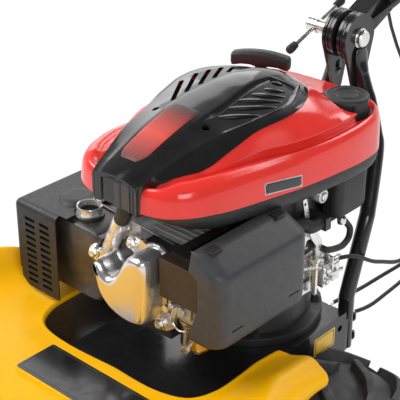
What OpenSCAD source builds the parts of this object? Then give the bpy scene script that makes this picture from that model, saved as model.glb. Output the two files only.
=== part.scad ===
// Walk-behind brush mower: vertical-shaft engine on a chassis channel, front rotary
// blade under a moulded hood, two driven wheels, folding handlebar.
// Front is -Y, up is +Z, the ground is z = 0.

/* [Chassis] */
// Height of the engine plate above the ground
plate_z = 325; // [320:1:330]
// Width of the chassis channel
chassis_w = 202; // [198:1:206]
// Sheet thickness of the chassis
chassis_t = 5; // [4:0.5:6]
// Rear edge of the chassis behind the crankshaft
chassis_rear = 70; // [66:1:72]

/* [Wheels] */
// Outer radius of the tyre over the lugs
tyre_r = 165; // [160:1:168]
// Width of the tyre
tyre_w = 100; // [94:1:102]
// Distance of the wheel centre plane from the middle
wheel_x = 160; // [160:1:164]
// Axle position in front of the crankshaft
axle_y = 60; // [56:1:64]
// Axle radius
axle_r = 10; // [9:0.5:12]
// Radial running clearance of shafts and pins
run_gap = 0.06; // [0.03:0.01:0.09]

/* [Blade] */
// Blade spindle position in front of the crankshaft
spindle_y = 525; // [523:1:528]
// Radius of the blade housing
deck_r = 280; // [276:1:282]
// Height of the top of the blade housing
deck_top = 180; // [176:1:184]
// Height of the lower rim of the blade housing
deck_low = 55; // [50:1:60]
// Length of the blade bar
blade_len = 520; // [480:5:530]
// Width of the blade bar
blade_wide = 60; // [50:1:70]
// Radius of the blade spindle
spindle_r = 15; // [13:0.5:17]

/* [Belts] */
// Running radius of the blade groove on the engine pulley
pulley_blade_r = 32; // [30:1:34]
// Running radius of the drive groove on the engine pulley
pulley_drive_r = 24; // [22:1:26]
// Running radius of the spindle pulley
pulley_spindle_r = 46; // [44:1:48]
// Running radius of the gearbox pulley
pulley_gear_r = 50; // [46:1:54]
// Height of the blade belt below the plate
blade_belt_drop = 63; // [61:1:65]
// Height of the drive belt below the plate
drive_belt_drop = 38; // [36:1:40]

/* [Engine] */
// Radius of the crankcase
case_r = 78; // [75:1:79]
// Radius of the crankshaft
crank_r = 12.5; // [11.5:0.1:13]
// Height of the blower base above the plate
base_h = 190; // [189:1:192]
// Flywheel radius
fly_r = 82; // [76:1:84]
// Fuel cap radius
cap_r = 27.5; // [27:0.5:28.5]
// Fuel neck radius
neck_r = 22; // [20:0.5:23]
// Cooling fin thickness
fin_t = 3; // [2:0.5:4]
// Spark plug boot radius
boot_r = 11; // [9:0.5:12]
// Sheet thickness of the muffler guard
guard_t = 1.5; // [1:0.1:2]

/* [Handlebar] */
// Radius of the lower handle tubes
tube_r = 10; // [9.5:0.5:10.5]
// Radius of the handlebar tubes
bar_r = 12; // [11:0.5:12.5]
// Height of the handlebar joint
joint_z = 635; // [632:1:638]
// Joint position behind the crankshaft
joint_y = 181; // [179:1:183]
// Upward slope of the handlebar
bar_slope = 25; // [23:1:27]
// Length of the handlebar along its slope
bar_len = 740; // [700:10:760]
// Half spacing of the grips
grip_x = 255; // [240:1:270]
// Radius of the grips
grip_r = 16; // [15.5:0.5:18]
// Clamp bolt radius
clamp_r = 6; // [5:0.5:7]

/* [Hidden] */
$fn = 48;

// Middle of the length is the origin
fy = -14;
hw = chassis_w / 2;
ct = chassis_t;
pz = plate_z;
z_case = pz + base_h;
base_t = 20;
z_rim = z_case + base_t;
z_bb = pz - blade_belt_drop;
z_db = pz - drive_belt_drop;
belt_w = 10;
belt_t = 6;
gear_y = 130;
cap_x = 66;
cap_y = 92;
cap_z = z_rim + 25;
plug_a = [-60, -178, pz + 131];
plug_b = [-14, -196, pz + 204];

function unit(v) = v / norm(v);
function lerp(a, b, t) = a + (b - a) * t;
function clamp(x, a, b) = min(max(x, a), b);
function smooth(a, b, x) = let (t = clamp((x - a) / (b - a), 0, 1)) t * t * (3 - 2 * t);
// Catmull-Rom point between p1 and p2
function cr(p0, p1, p2, p3, t) = 0.5 * (2 * p1 + (p2 - p0) * t
    + (2 * p0 - 5 * p1 + 4 * p2 - p3) * t * t + (3 * p1 - p0 - 3 * p2 + p3) * t * t * t);
// Smooth open curve through the points, n steps per span
function curve(p, n) = concat([for (i = [0:len(p) - 2], k = [0:n - 1])
    cr(p[max(i - 1, 0)], p[i], p[i + 1], p[min(i + 2, len(p) - 1)], k / n)], [p[len(p) - 1]]);

// Closed skin over a row of closed sections, with flat ends
module skin(s) {
    n = len(s);
    m = len(s[0]);
    sides = [for (i = [0:n - 2], j = [0:m - 1], k = [0, 1])
        let (a = i * m + j, b = i * m + (j + 1) % m, c = a + m, d = b + m) k == 0 ? [a, b, d] : [a, d, c]];
    ends = [[for (j = [0:m - 1]) m - 1 - j], [for (j = [0:m - 1]) (n - 1) * m + j]];
    polyhedron(points = [for (q = s) each q], faces = concat(sides, ends), convexity = 10);
}

// Round tube of radius r along points p, seen from reference direction u0
function tangent(p, i) = unit(p[min(i + 1, len(p) - 1)] - p[max(i - 1, 0)]);
function ring(c, t, r, n, u0) = let (u = unit(cross(t, u0)), v = cross(t, u))
    [for (i = [0:n - 1]) c + r * (cos(360 * i / n) * u - sin(360 * i / n) * v)];
module sweep(p, r, n = 8, u0 = [1, 0, 0]) {
    skin([for (i = [0:len(p) - 1]) ring(p[i], tangent(p, i), r, n, u0)]);
}

module rod(a, b, r) {
    v = b - a;
    translate(a)
        rotate([0, acos(v[2] / norm(v)), atan2(v[1], v[0])])
            cylinder(r = r, h = norm(v));
}

// Bent tube of straight lengths with ball corners
module pipe(p, r) {
    for (i = [0:len(p) - 2])
        rod(p[i], p[i + 1], r);
    for (i = [1:len(p) - 2])
        translate(p[i])
            sphere(r = r + 0.25);
}

module block(a, b) {
    translate(a)
        cube(b - a);
}

module ring_cut(z, h, ro, ri) {
    translate([0, 0, z])
        difference() {
            cylinder(r = ro, h = h);
            translate([0, 0, -1])
                cylinder(r = ri, h = h + 2);
        }
}

module along_x(x, y, z) {
    translate([x, y, z])
        rotate([0, 90, 0])
            children();
}

// Extrude an outline drawn in (y, z) along +X from x
module side_plate(x, t) {
    translate([x, 0, 0])
        rotate([90, 0, 90])
            linear_extrude(t)
                children();
}

// Extrude an outline drawn in (x, z) along -Y from y
module front_plate(y, t) {
    translate([0, y, 0])
        rotate([90, 0, 0])
            linear_extrude(t)
                children();
}

module chassis_side() {
    difference() {
        polygon([[chassis_rear, pz - ct], [chassis_rear, pz - 65], [-20, pz - 105], [-20, 120],
            [-gear_y - 30, 120], [-gear_y - 30, deck_top], [-spindle_y - 130, deck_top],
            [-spindle_y - 130, deck_top + 55], [-spindle_y + 60, pz - 45], [-330, pz - ct]]);
        translate([-axle_y, tyre_r])
            circle(r = axle_r + run_gap);
        translate([58, pz - 18])
            circle(r = 4.5);
    }
}

idler_pin = [-14, -280];
drive_pin = [78, -10];

module chassis() {
    color([0.09, 0.09, 0.1])
        translate([0, fy, 0]) {
            difference() {
                block([-hw, -330, pz - ct], [hw, chassis_rear, pz]);
                translate([0, 0, pz - 2 * ct])
                    cylinder(r = 50, h = 3 * ct);
            }
            side_plate(hw - 4, 4)
                chassis_side();
            side_plate(-hw, 4)
                chassis_side();
            block([-hw, chassis_rear - 4, pz - 65], [hw, chassis_rear, pz - ct]);
            translate([idler_pin[0], idler_pin[1], z_bb - 23])
                cylinder(r = 6, h = pz - ct - z_bb + 23.5);
            translate([drive_pin[0], drive_pin[1], z_db - 20])
                cylinder(r = 6, h = pz - ct - z_db + 20.5);
        }
}

module blade_housing() {
    color([0.1, 0.1, 0.1])
        translate([0, fy - spindle_y, 0])
            difference() {
                translate([0, 0, deck_low])
                    cylinder(r = deck_r, h = deck_top - deck_low, $fn = 96);
                translate([0, 0, deck_low - 1])
                    cylinder(r = deck_r - 4, h = deck_top - deck_low - 3, $fn = 96);
                translate([0, 0, deck_low])
                    cylinder(r = 36, h = 200);
                block([-110, 150, deck_low - 1], [110, 400, deck_top - 30]);
            }
}

// Hood stations from the front middle to the rear of the left fender: inner rim,
// inner slope, shoulder and lower edge
hood_rim = [[0, -230, 350], [55, -230, 350], [96, -217, 350], [113, -188, 352], [115, -150, 354],
    [114, -118, 355], [118, -84, 356]];
hood_mid = [[0, -330, 344], [110, -315, 346], [160, -270, 352], [168, -215, 362], [164, -165, 369],
    [152, -120, 366], [142, -80, 358]];
hood_top = [[0, -778, 268], [202, -716, 272], [272, -560, 305], [278, -340, 350], [262, -200, 383],
    [208, -128, 372], [172, -76, 357]];
hood_edge = [[0, -828, 150], [230, -764, 150], [314, -590, 150], [320, -340, 160], [302, -205, 300],
    [230, -130, 346], [186, -78, 337]];
// The left fender is cut back over the wheel
left_mid = [for (i = [0:6]) i == 3 ? [150, -212, 360] : i == 4 ? [146, -164, 366] :
    i == 5 ? [146, -120, 364] : hood_mid[i]];
left_top = [for (i = [0:6]) i == 4 ? [186, -176, 371] : i == 5 ? [175, -120, 366] : hood_top[i]];
left_edge = [for (i = [0:6]) i == 3 ? [313, -340, 162] : i == 4 ? [208, -182, 330] :
    i == 5 ? [188, -122, 337] : hood_edge[i]];
hood_t = 3;
// The right side stays low and opens wider, to clear the muffler
hood_out = [45, 68, 14, 0];
hood_low = [9, 40, 0, 0];
function hood_side(p, k) = let (f = smooth(0, 115, p[0]))
    [-p[0] - hood_out[k] * f, p[1], k == 1 ? min(p[2], 346) : p[2] - hood_low[k] * f];
hood_n = 4;
function hood_row(p, q, k) = let (c = curve(p, hood_n))
    concat([for (i = [len(c) - 1:-1:1]) hood_side(c[i], k)], curve(q, hood_n));
hr = hood_row(hood_rim, hood_rim, 0);
hm = hood_row(hood_mid, left_mid, 1);
ht = hood_row(hood_top, left_top, 2);
he = hood_row(hood_edge, left_edge, 3);
function hood_sec(i) = let (r = hr[i], m = hm[i], t = ht[i], e = he[i],
    q = unit([m[0] - r[0], m[1] - r[1], 0]), w = unit([e[0] - m[0], e[1] - m[1], 0]),
    s1 = lerp(m, t, 0.35) + [0, 0, 6], s2 = lerp(m, t, 0.7) + [0, 0, 8],
    b = lerp(t, e, 0.25) + w * 8, d = [0, 0, -hood_t])
    [r - q * 3 + d * 2, r + [0, 0, 1], r + q * 8 + [0, 0, -1], m, s1, s2, t, b, e,
    e - w * hood_t, b - w * hood_t + d, t + d - w, s2 + d, s1 + d, m + d, r + q * 6 + d * 2];

module hood() {
    color([0.96, 0.72, 0])
        translate([0, fy, 0]) {
            skin([for (i = [len(hr) - 1:-1:0]) hood_sec(i)]);
            hull()
                for (x = [-86, 86], y = [-300, -248])
                    translate([x, y, 338])
                        cylinder(r = 4, h = 11.5, $fn = 16);
            hood_post(215, -620, 292.3);
            hood_post(-215, -620, 293.6);
            hood_post(215, -430, 330.8);
            hood_post(-215, -430, 327.6);
        }
}

// Moulded post that stands on the blade housing
module hood_post(x, y, top) {
    hull() {
        translate([x, y, deck_top + 1])
            cylinder(r = 9, h = 20, $fn = 24);
        translate([x, y, top - 30])
            cylinder(r = 6, h = 30, $fn = 24);
    }
    hull() {
        translate([x, y, deck_top])
            cylinder(r = 16, h = 3, $fn = 24);
        translate([x, y, deck_top])
            cylinder(r = 11, h = 10, $fn = 24);
    }
}

module nameplate() {
    color([0.03, 0.03, 0.03])
        translate([0, fy, 0])
            block([-87, -302, 349.5], [87, -246, 350.7]);
}

module skid() {
    difference() {
        union() {
            side_plate(0, 6)
                polygon([[-178, 6], [148, 6], [148, deck_low + 60], [70, deck_low + 60], [40, 60], [-60, 60],
                    [-90, deck_low + 60], [-180, deck_low + 60], [-215, 60], [-212, 34]]);
            side_plate(-14, 34)
                polygon([[-180, 0], [150, 0], [150, 12], [-176, 12], [-209, 40], [-217, 31]]);
        }
        along_x(-1, 110, deck_low + 40)
            cylinder(r = 5, h = 8);
        along_x(-1, -140, deck_low + 40)
            cylinder(r = 5, h = 8);
    }
}

module skids() {
    color([0.13, 0.13, 0.13])
        translate([0, fy - spindle_y, 0]) {
            translate([deck_r, 0, 0])
                skid_side();
            mirror([1, 0, 0])
                translate([deck_r, 0, 0])
                    skid_side();
        }
}

// One runner, with the stand-offs that carry it on the round housing
module skid_side() {
    difference() {
        union() {
            translate([4, 0, 0])
                skid();
            for (y = [-140, 110])
                block([-60, y - 15, deck_low + 25], [4.5, y + 15, deck_low + 55]);
        }
        translate([-deck_r, 0, 0])
            cylinder(r = deck_r, h = 300, $fn = 96);
    }
}

module spindle_housing() {
    color([0.45, 0.46, 0.48])
        translate([0, fy - spindle_y, 0])
            difference() {
                union() {
                    translate([0, 0, deck_top])
                        cylinder(r = 70, h = 10);
                    translate([0, 0, deck_top - 60])
                        cylinder(r = 35, h = 115);
                    for (a = [45:90:315])
                        rotate(a)
                            translate([56, 0, deck_top + 9.5])
                                cylinder(r = 9, h = 7, $fn = 6);
                }
                translate([0, 0, 0])
                    cylinder(r = spindle_r + run_gap, h = 400);
            }
}

module gearbox() {
    color([0.35, 0.36, 0.38])
        translate([0, fy, 0])
            difference() {
                union() {
                    block([-48, -gear_y - 28, tyre_r - 48], [48, -axle_y + 52, tyre_r + 52]);
                    along_x(-hw + 4, -axle_y, tyre_r)
                        cylinder(r = 26, h = chassis_w - 8);
                    translate([0, -gear_y, tyre_r + 51])
                        cylinder(r = 20, h = 10);
                }
                along_x(-150, -axle_y, tyre_r)
                    cylinder(r = axle_r + run_gap, h = 300);
                translate([0, -gear_y, tyre_r + 30])
                    cylinder(r = 9 + run_gap, h = 100);
            }
}

module crankcase() {
    color([0.62, 0.63, 0.65])
        translate([0, fy, 0])
            difference() {
                union() {
                    translate([0, 0, pz])
                        cylinder(r = 92, h = 10);
                    translate([0, 0, pz + 9])
                        cylinder(r = case_r, h = z_case - pz - 9);
                    block([-44, -84, pz + 60], [40, -50, pz + 160]);
                    block([60, -12, pz + 92], [86, 26, pz + 122]);
                    block([30, 30, pz + 125], [78, 100, pz + 137]);
                    block([60, 10, pz + 142], [106, 20, pz + 158]);
                    for (a = [45:90:315])
                        rotate(a)
                            translate([84, 0, pz + 9.5])
                                cylinder(r = 7, h = 6.5, $fn = 6);
                }
                translate([0, 0, pz - 1])
                    cylinder(r = crank_r + run_gap, h = 300);
            }
}

module cylinder_block() {
    color([0.6, 0.61, 0.63])
        translate([0, fy, 0]) {
            block([-40, -155, pz + 66], [36, -84, pz + 154]);
            for (i = [0:7])
                block([-50, -155 + 9 * i, pz + 58], [45, -155 + 9 * i + fin_t, pz + 172]);
        }
}

module cylinder_head() {
    color([0.66, 0.67, 0.69])
        translate([0, fy, 0])
            difference() {
                union() {
                    block([-50, -185, pz + 62], [44, -155, pz + 166]);
                    block([-70, -185, pz + 112], [-49, -158, pz + 150]);
                }
                rod(plug_a, plug_b, boot_r + 1);
                rod(lerp(plug_a, plug_b, -0.2), plug_a, 7.2);
            }
}

module cover_outline() {
    difference() {
        polygon(concat([[40, 176], [36, 91]], [for (a = [270:-7.5:180])
            [16 + 55 * cos(a), 146 + 55 * sin(a)]], [[-39, 156], [8, 176]]));
        translate([-19, 155])
            circle(r = 23);
    }
}

bolt_at = [[-72, 131], [32, 80], [-9, 167]];

module valve_cover() {
    color([0.8, 0.81, 0.83])
        translate([0, fy, pz])
            difference() {
                union() {
                    front_plate(-188.5, 34.5)
                        cover_outline();
                    front_plate(-185, 4) {
                        cover_outline();
                        for (p = bolt_at)
                            translate(p)
                                circle(r = 9);
                        polygon([[-72, 122], [-26, 104], [-26, 121], [-42, 136], [-72, 140]]);
                        translate([24, 80])
                            square([16, 14]);
                    }
                }
                for (p = bolt_at)
                    translate([p[0], -150, p[1]])
                        rotate([90, 0, 0])
                            cylinder(r = 3.2, h = 60);
                translate([0, 0, -pz])
                    rod(plug_a, plug_b, boot_r + 1);
            }
}

module valve_cover_bolts() {
    color([0.75, 0.76, 0.78])
        translate([0, fy, pz])
            for (p = bolt_at)
                translate([p[0], -189, p[1]])
                    rotate([90, 0, 0]) {
                        cylinder(r = 6, h = 5, $fn = 6);
                        translate([0, 0, -4])
                            cylinder(r = 3, h = 4.5);
                    }
}

module spark_plug() {
    color([0.78, 0.78, 0.8])
        translate([0, fy, 0]) {
            rod(plug_a, plug_b, boot_r);
            rod(lerp(plug_a, plug_b, -0.2), lerp(plug_a, plug_b, 0.05), 7);
            rod(lerp(plug_a, plug_b, 0.85), lerp(plug_a, plug_b, 1.12), boot_r - 2.5);
        }
}

module muffler() {
    color([0.2, 0.19, 0.19])
        translate([0, fy, pz]) {
            front_plate(-62, 104)
                hull() {
                    for (x = [-202, -96], z = [54, 122])
                        translate([x, z])
                            circle(r = 14, $fn = 32);
                }
            rod([-84, -160, 88], [-50, -160, 88], 13);
            translate([-118, -138, 130])
                difference() {
                    cylinder(r = 13, h = 26);
                    translate([0, 0, 8])
                        cylinder(r = 10.5, h = 20);
                }
        }
}

module guard_face() {
    difference() {
        polygon([[-226, 34], [-206, 26], [-150, 26], [-150, 142], [-226, 142]]);
        for (i = [0:10], c = [0, 1])
            translate([-206 + 26 * c, 34 + 8.6 * i])
                square([18, 4.6]);
    }
}

module muffler_guard() {
    color([0.07, 0.07, 0.07])
        translate([0, fy, pz]) {
            front_plate(-180 + guard_t, guard_t)
                guard_face();
            block([-226, -180, 60], [-226 + guard_t, -50, 142]);
            difference() {
                block([-226, -180, 142 - guard_t], [-138, -50, 142]);
                translate([-118, -138, 130])
                    cylinder(r = 22, h = 30);
            }
            translate([-170, -125, 141])
                cylinder(r = 24, h = 5);
            for (z = [70, 100])
                rod([-225, -110, z], [-216, -110, z], 5);
        }
}

module carburettor() {
    color([0.7, 0.7, 0.71])
        translate([0, fy, pz]) {
            block([44, -185, 92], [52, -155, 130]);
            rod([51, -172, 112], [92, -172, 112], 17);
            block([56, -192, 100], [88, -152, 130]);
            translate([72, -172, 58])
                cylinder(r = 19, h = 43);
            translate([72, -172, 52])
                cylinder(r = 6, h = 8, $fn = 6);
        }
}

module air_box() {
    color([0.16, 0.14, 0.13])
        translate([0, fy, pz])
            union() {
                difference() {
                    block([47, -205, 130], [96, -66, 178]);
                    block([62, -196, 138], [97, -75, 172]);
                }
                for (y = [-139.4, -126.6])
                    front_plate(y, 3)
                        hinge_ear();
                rod([hinge_x, -142, hinge_z], [hinge_x, -127, hinge_z], hinge_r);
            }
}

// Ear that hangs from the air box and carries the hinge pin of the filter cover
hinge_x = 97;
hinge_z = 97;
hinge_r = 2;
module hinge_ear() {
    translate([hinge_x, hinge_z])
        circle(r = 4);
    polygon([[88, 131], [95.8, 131], [95.8, 98], [97, 93], [93.2, 96], [88, 106]]);
}

module filter_element() {
    color([0.85, 0.8, 0.6])
        translate([0, fy, pz])
            block([62, -194, 140], [118, -77, 166]);
}

// Rounded plan of the filter cover, drawn in by d
module cover_plan(d) {
    x = 140 - d;
    r = 18 - d;
    difference() {
        translate([80, -212 + d])
            square([x - 80, 150 - 2 * d]);
        for (y = [-212 + d, -62 - d])
            translate([x, y])
                square(2 * r, center = true);
    }
    for (y = [-212 + d + r, -62 - d - r])
        translate([x - r, y])
            circle(r = r);
}

module filter_cover() {
    color([0.2, 0.2, 0.21]) {
        translate([0, fy, pz])
            difference() {
                intersection() {
                    front_plate(-50, 180)
                        polygon([[96.8, 98], [134, 97], [140, 104], [140, 186], [113, 205], [107, 205],
                            [107, 180], [96.8, 180]]);
                    linear_extrude(300)
                        cover_plan(0);
                }
                intersection() {
                    front_plate(-50, 180)
                        polygon([[90, 101.5], [132, 101.5], [136.5, 106], [136.5, 176], [90, 176]]);
                    linear_extrude(300)
                        cover_plan(3.5);
                }
                rod([hinge_x, -145, hinge_z], [hinge_x, -124, hinge_z], 4.6);
            }
        translate([0, fy, pz])
            difference() {
                union() {
                    rod([hinge_x, -139, hinge_z], [hinge_x, -130, hinge_z], 4);
                    block([hinge_x, -139, hinge_z], [hinge_x + 9, -130, hinge_z + 4]);
                }
                rod([hinge_x, -150, hinge_z], [hinge_x, -120, hinge_z], hinge_r + run_gap);
            }
        }
}

module fuel_tank() {
    color([0.08, 0.08, 0.08])
        translate([0, fy, 0])
            difference() {
                union() {
                    difference() {
                        block([-60, 26, pz + 137], [94, 128, z_rim - 1]);
                        translate([0, 0, z_case - 12])
                            cylinder(r = fly_r + 12, h = 100);
                        cylinder(r = 84, h = 900);
                    }
                    translate([cap_x, cap_y, z_rim - 30])
                        cylinder(r = neck_r, h = 80);
                    translate([cap_x, cap_y, cap_z - 10])
                        cylinder(r = neck_r + 7, h = 6);
                }
                translate([cap_x, cap_y, z_rim - 20])
                    cylinder(r = neck_r - 4, h = 90);
            }
}

module fuel_cap() {
    color([0.1, 0.1, 0.1])
        translate([cap_x, cap_y + fy, cap_z])
            difference() {
                cylinder(r = cap_r, h = 44);
                translate([0, 0, -1])
                    cylinder(r = neck_r + run_gap, h = 31);
                for (i = [0:7])
                    rotate(i * 45)
                        translate([cap_r + 3, 0, 8])
                            cylinder(r = 5.5, h = 29);
            }
}

fuel_path = [[88, 66, 132], [89, 74, 122], [91, 80, 112], [94, 74, 103], [96, 60, 99], [97, 42, 102],
    [97, 25, 108]];
module fuel_hose() {
    color([0.05, 0.05, 0.05])
        translate([0, fy, pz])
            sweep(concat([[88, 66, 137]], curve(fuel_path, 4), [[92.5, 25, 108], [88.5, 25, 108]]),
                4, 10, [1, 1, 1]);
}

breather_path = [[82, -60, 158], [84, -44, 159], [92, -18, 158], [96, -8, 152]];
module breather_hose() {
    color([0.05, 0.05, 0.05])
        translate([0, fy, pz])
            sweep(concat([[82, -66, 158]], curve(breather_path, 4), [[96, 2, 150], [96, 10, 150]]),
                8, 12, [0, 0, 1]);
}

module control_bracket() {
    color([0.75, 0.75, 0.72])
        translate([0, fy, pz]) {
            side_plate(86, 2.5)
                difference() {
                    polygon([[-44, 50], [-20, 50], [46, 70], [46, 92], [14, 140], [-20, 146], [-44, 120]]);
                    translate([-30, 100])
                        circle(r = 6);
                }
            block([86, 30, 76], [104, 33, 98]);
            along_x(88, 4, 118)
                cylinder(r = 7, h = 8);
            along_x(88, -26, 74)
                cylinder(r = 10, h = 6);
        }
}

// Half outline of the cowl rim from the front to the rear
// Each point: place, width of the dome inwards from the rim, rise of the dome above the band
cowl_half = [[40, -208, 26, 0], [62, -192, 26, 6], [82, -152, 27, 17], [95, -100, 32, 31], [106, -45, 29, 37],
    [113, 20, 50, 40], [111, 75, 86, 28], [100, 116, 88, 19], [70, 143, 90, 15], [0, 152, 78, 14]];
cowl_right = curve(cowl_half, 3);
cowl_path = concat(cowl_right, [for (i = [len(cowl_right) - 2:-1:0])
    let (p = cowl_right[i]) [-p[0], p[1], p[2], p[3]]]);
function inset(p, d) = let (a = [p[0], p[1]], q = [0, clamp(p[1], -150, 60)]) a + d * unit(q - a);
function cowl_pt(p, d, z) = let (q = inset(p, d)) [q[0], q[1], z_rim + z];
// The crest of the band draws in towards the nose
function cowl_sec(p) = let (c = 18 - 10 * smooth(-90, -5, p[1]), g = c + 10, u = max(p[2], g + 2), h = p[3])
    [cowl_pt(p, 0, 0), cowl_pt(p, 0.15 * c, 22), cowl_pt(p, 0.5 * c, 39.5),
    cowl_pt(p, c, 48), cowl_pt(p, c + 7, 45.5), cowl_pt(p, lerp(g, u, 0.25), 45.5 + 0.55 * h),
    cowl_pt(p, lerp(g, u, 0.6), 46 + 0.85 * h), cowl_pt(p, u, 47 + h),
    cowl_pt(p, u, 44 + h), cowl_pt(p, lerp(g, u, 0.6) + 1, 43 + 0.85 * h),
    cowl_pt(p, lerp(g, u, 0.25) + 2, 42.5 + 0.55 * h), cowl_pt(p, c + 8, 42.5),
    cowl_pt(p, c + 1, 45), cowl_pt(p, 0.5 * c + 3, 38), cowl_pt(p, 0.15 * c + 3, 22), cowl_pt(p, 3, 0)];

module engine_cowl() {
    color([0.78, 0.05, 0.07])
        translate([0, fy, 0])
            difference() {
                union() {
                    skin([for (p = cowl_path) cowl_sec(p)]);
                    translate([rope_at[0], rope_at[1], z_rim + 57])
                        cylinder(r = 8.5, h = 10.2);
                }
                translate([cap_x, cap_y, z_rim + 10])
                    cylinder(r = cap_r + 4, h = 100);
            }
}

// Rope guide of the recoil starter, where its handle rests
rope_at = [-61, 87];
// Slices of the top cover: distance back, then half width and height at its edge, ridge and flat middle
cover_cut = [[-222, 33, 20, 32, 45, 20, 50], [-216, 36, 20, 34.5, 53, 22, 58],
    [-207, 37.5, 20, 36.5, 58, 23, 62], [-204, 43, 54, 37, 61, 23, 63.5],
    [-180, 51, 61, 42.5, 69, 24, 72], [-160, 58, 65, 48, 75, 25, 79.5],
    [-140, 61, 72, 51, 79, 25, 86], [-120, 63, 78, 55.5, 82, 25, 92], [-80, 73.5, 83, 64.5, 87, 24, 98],
    [-40, 82, 87, 70, 90, 19, 103], [-15, 81, 89, 68, 91, 17, 104], [5, 74, 90, 59, 92, 17, 102],
    [25, 61, 89, 48, 91, 16, 98.5], [42, 46, 86, 36, 88, 14, 93], [56, 32, 80, 25, 83, 11, 87],
    [68, 20, 72, 15, 76, 7, 79], [76, 9, 66, 6, 69, 3, 71]];
// Outer line of a slice, or its inner line at thickness t
function cover_line(c, t) = let (e = max(c[1] - t, 1), r = max(c[3] - t, 0.8), m = max(c[5] - t, 0.6))
    let (a = [[e, c[2]], [r, c[4] - t], [m, c[6] - t], [0, c[6] + 1.5 - t]])
    [for (i = [0:6]) let (p = a[i < 4 ? i : 6 - i]) [i < 4 ? p[0] : -p[0], c[0], z_rim + p[1]]];
function cover_sec(c) = let (a = cover_line(c, 0), b = cover_line(c, c[0] < -206 ? 24 : 3))
    concat([for (i = [6:-1:0]) a[i]], b);

module top_cover() {
    color([0.06, 0.06, 0.06])
        translate([0, fy, 0]) {
            difference() {
                skin([for (i = [len(cover_cut) - 1:-1:0]) cover_sec(cover_cut[i])]);
                for (i = [0:4])
                    cover_slot([-64 + 4 * i, -47 + 17 * i], [-34 + i, -95 + 21 * i], 2.5);
            }
            for (i = [0:5])
                louvre(-96 + 20 * i);
            for (x = [-22, 22]) {
                translate([x, -160, z_case + 4])
                    cylinder(r = 5, h = base_t + 74);
                translate([x, -104, z_case + 4])
                    cylinder(r = 5, h = base_t + 90);
            }
        }
}

// Slot cut down through the cover between two plan points
module cover_slot(a, b, r) {
    hull() {
        translate([a[0], a[1], z_rim])
            cylinder(r = r, h = 150, $fn = 16);
        translate([b[0], b[1], z_rim])
            cylinder(r = r, h = 150, $fn = 16);
    }
}

// Height of the cover above the rim between its middle and its ridge
function cover_z(x, y) = let (i = max([for (k = [0:len(cover_cut) - 2]) cover_cut[k][0] <= y ? k : 0]),
    t = (y - cover_cut[i][0]) / (cover_cut[i + 1][0] - cover_cut[i][0]),
    c = lerp(cover_cut[i], cover_cut[i + 1], t)) lerp(c[6], c[4], (x - c[5]) / (c[3] - c[5]));

// Raised louvre on the left of the cover
module louvre(y) {
    hull()
        for (x = [30, 42, 54])
            translate([x - (y > -40 ? 6 : 0), y + (x - 30) * 1.2, z_rim + cover_z(x, y + (x - 30) * 1.2) - 1.5])
                sphere(r = 4, $fn = 8);
}

module blower_outline(d) {
    polygon([for (p = cowl_path) inset(p, d)]);
}

module blower_base() {
    color([0.07, 0.07, 0.07])
        translate([0, fy, z_case])
            difference() {
                linear_extrude(base_t)
                    blower_outline(1.5);
                translate([0, 0, 4])
                    linear_extrude(30)
                        blower_outline(5.5);
                translate([0, 0, -1])
                    cylinder(r = 24, h = 10);
                block([-62, 24.5, -1], [200, 134, 40]);
                block([-52, -240, -1], [22, -176, 40]);
            }
}

module crankshaft() {
    color([0.7, 0.7, 0.72])
        translate([0, fy, 0]) {
            translate([0, 0, z_bb - 20])
                cylinder(r = crank_r, h = z_case + 48 - z_bb);
        }
}

module flywheel() {
    color([0.3, 0.3, 0.32])
        translate([0, fy, z_case + 10])
            difference() {
                union() {
                    cylinder(r = fly_r, h = 12);
                    cylinder(r = 22, h = 34);
                    for (i = [0:11])
                        rotate(i * 30)
                            block([48, -1.5, 11], [fly_r - 3, 1.5, 32]);
                }
                translate([0, 0, -1])
                    cylinder(r = crank_r, h = 60);
            }
}

// V pulley with its groove centre at z = 0, bored for a shaft
module vee(r, bore, h = 18) {
    difference() {
        rotate_extrude()
            polygon([[bore, -h / 2], [r + 5, -h / 2], [r + 5, -belt_w / 2 - 0.8], [r - belt_t, -3.2],
                [r - belt_t, 3.2], [r + 5, belt_w / 2 + 0.8], [r + 5, h / 2], [bore, h / 2]]);
    }
}

module engine_pulley() {
    color([0.5, 0.5, 0.52])
        translate([0, fy, 0]) {
            translate([0, 0, z_bb])
                vee(pulley_blade_r, crank_r);
            translate([0, 0, z_db])
                vee(pulley_drive_r, crank_r);
            ring_cut(z_bb + 8.5, z_db - z_bb - 17, crank_r + 6, crank_r);
        }
}

module spindle_pulley() {
    color([0.5, 0.5, 0.52])
        translate([0, fy - spindle_y, z_bb])
            vee(pulley_spindle_r, spindle_r);
}

module blade_spindle() {
    color([0.6, 0.6, 0.62])
        translate([0, fy - spindle_y, 0])
            difference() {
                translate([0, 0, 92])
                    cylinder(r = spindle_r, h = z_bb + 16 - 92);
                translate([0, 0, 91])
                    cylinder(r = 6, h = 30);
            }
}

module blade() {
    color([0.4, 0.4, 0.42])
        translate([0, fy - spindle_y, 0])
            rotate(35)
                difference() {
                    block([-blade_len / 2, -blade_wide / 2, 86], [blade_len / 2, blade_wide / 2, 92]);
                    translate([0, 0, 80])
                        cylinder(r = 6, h = 30);
                    for (a = [0, 180])
                        rotate(a)
                            translate([blade_len / 2 - 100, blade_wide / 2, 92])
                                rotate([35, 0, 0])
                                    block([0, -20, 0], [101, 20, 20]);
                }
}

module blade_bolt() {
    color([0.55, 0.55, 0.57])
        translate([0, fy - spindle_y, 0]) {
            translate([0, 0, 76])
                cylinder(r = 11, h = 10, $fn = 6);
            translate([0, 0, 85.5])
                cylinder(r = 6, h = 30);
        }
}

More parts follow.
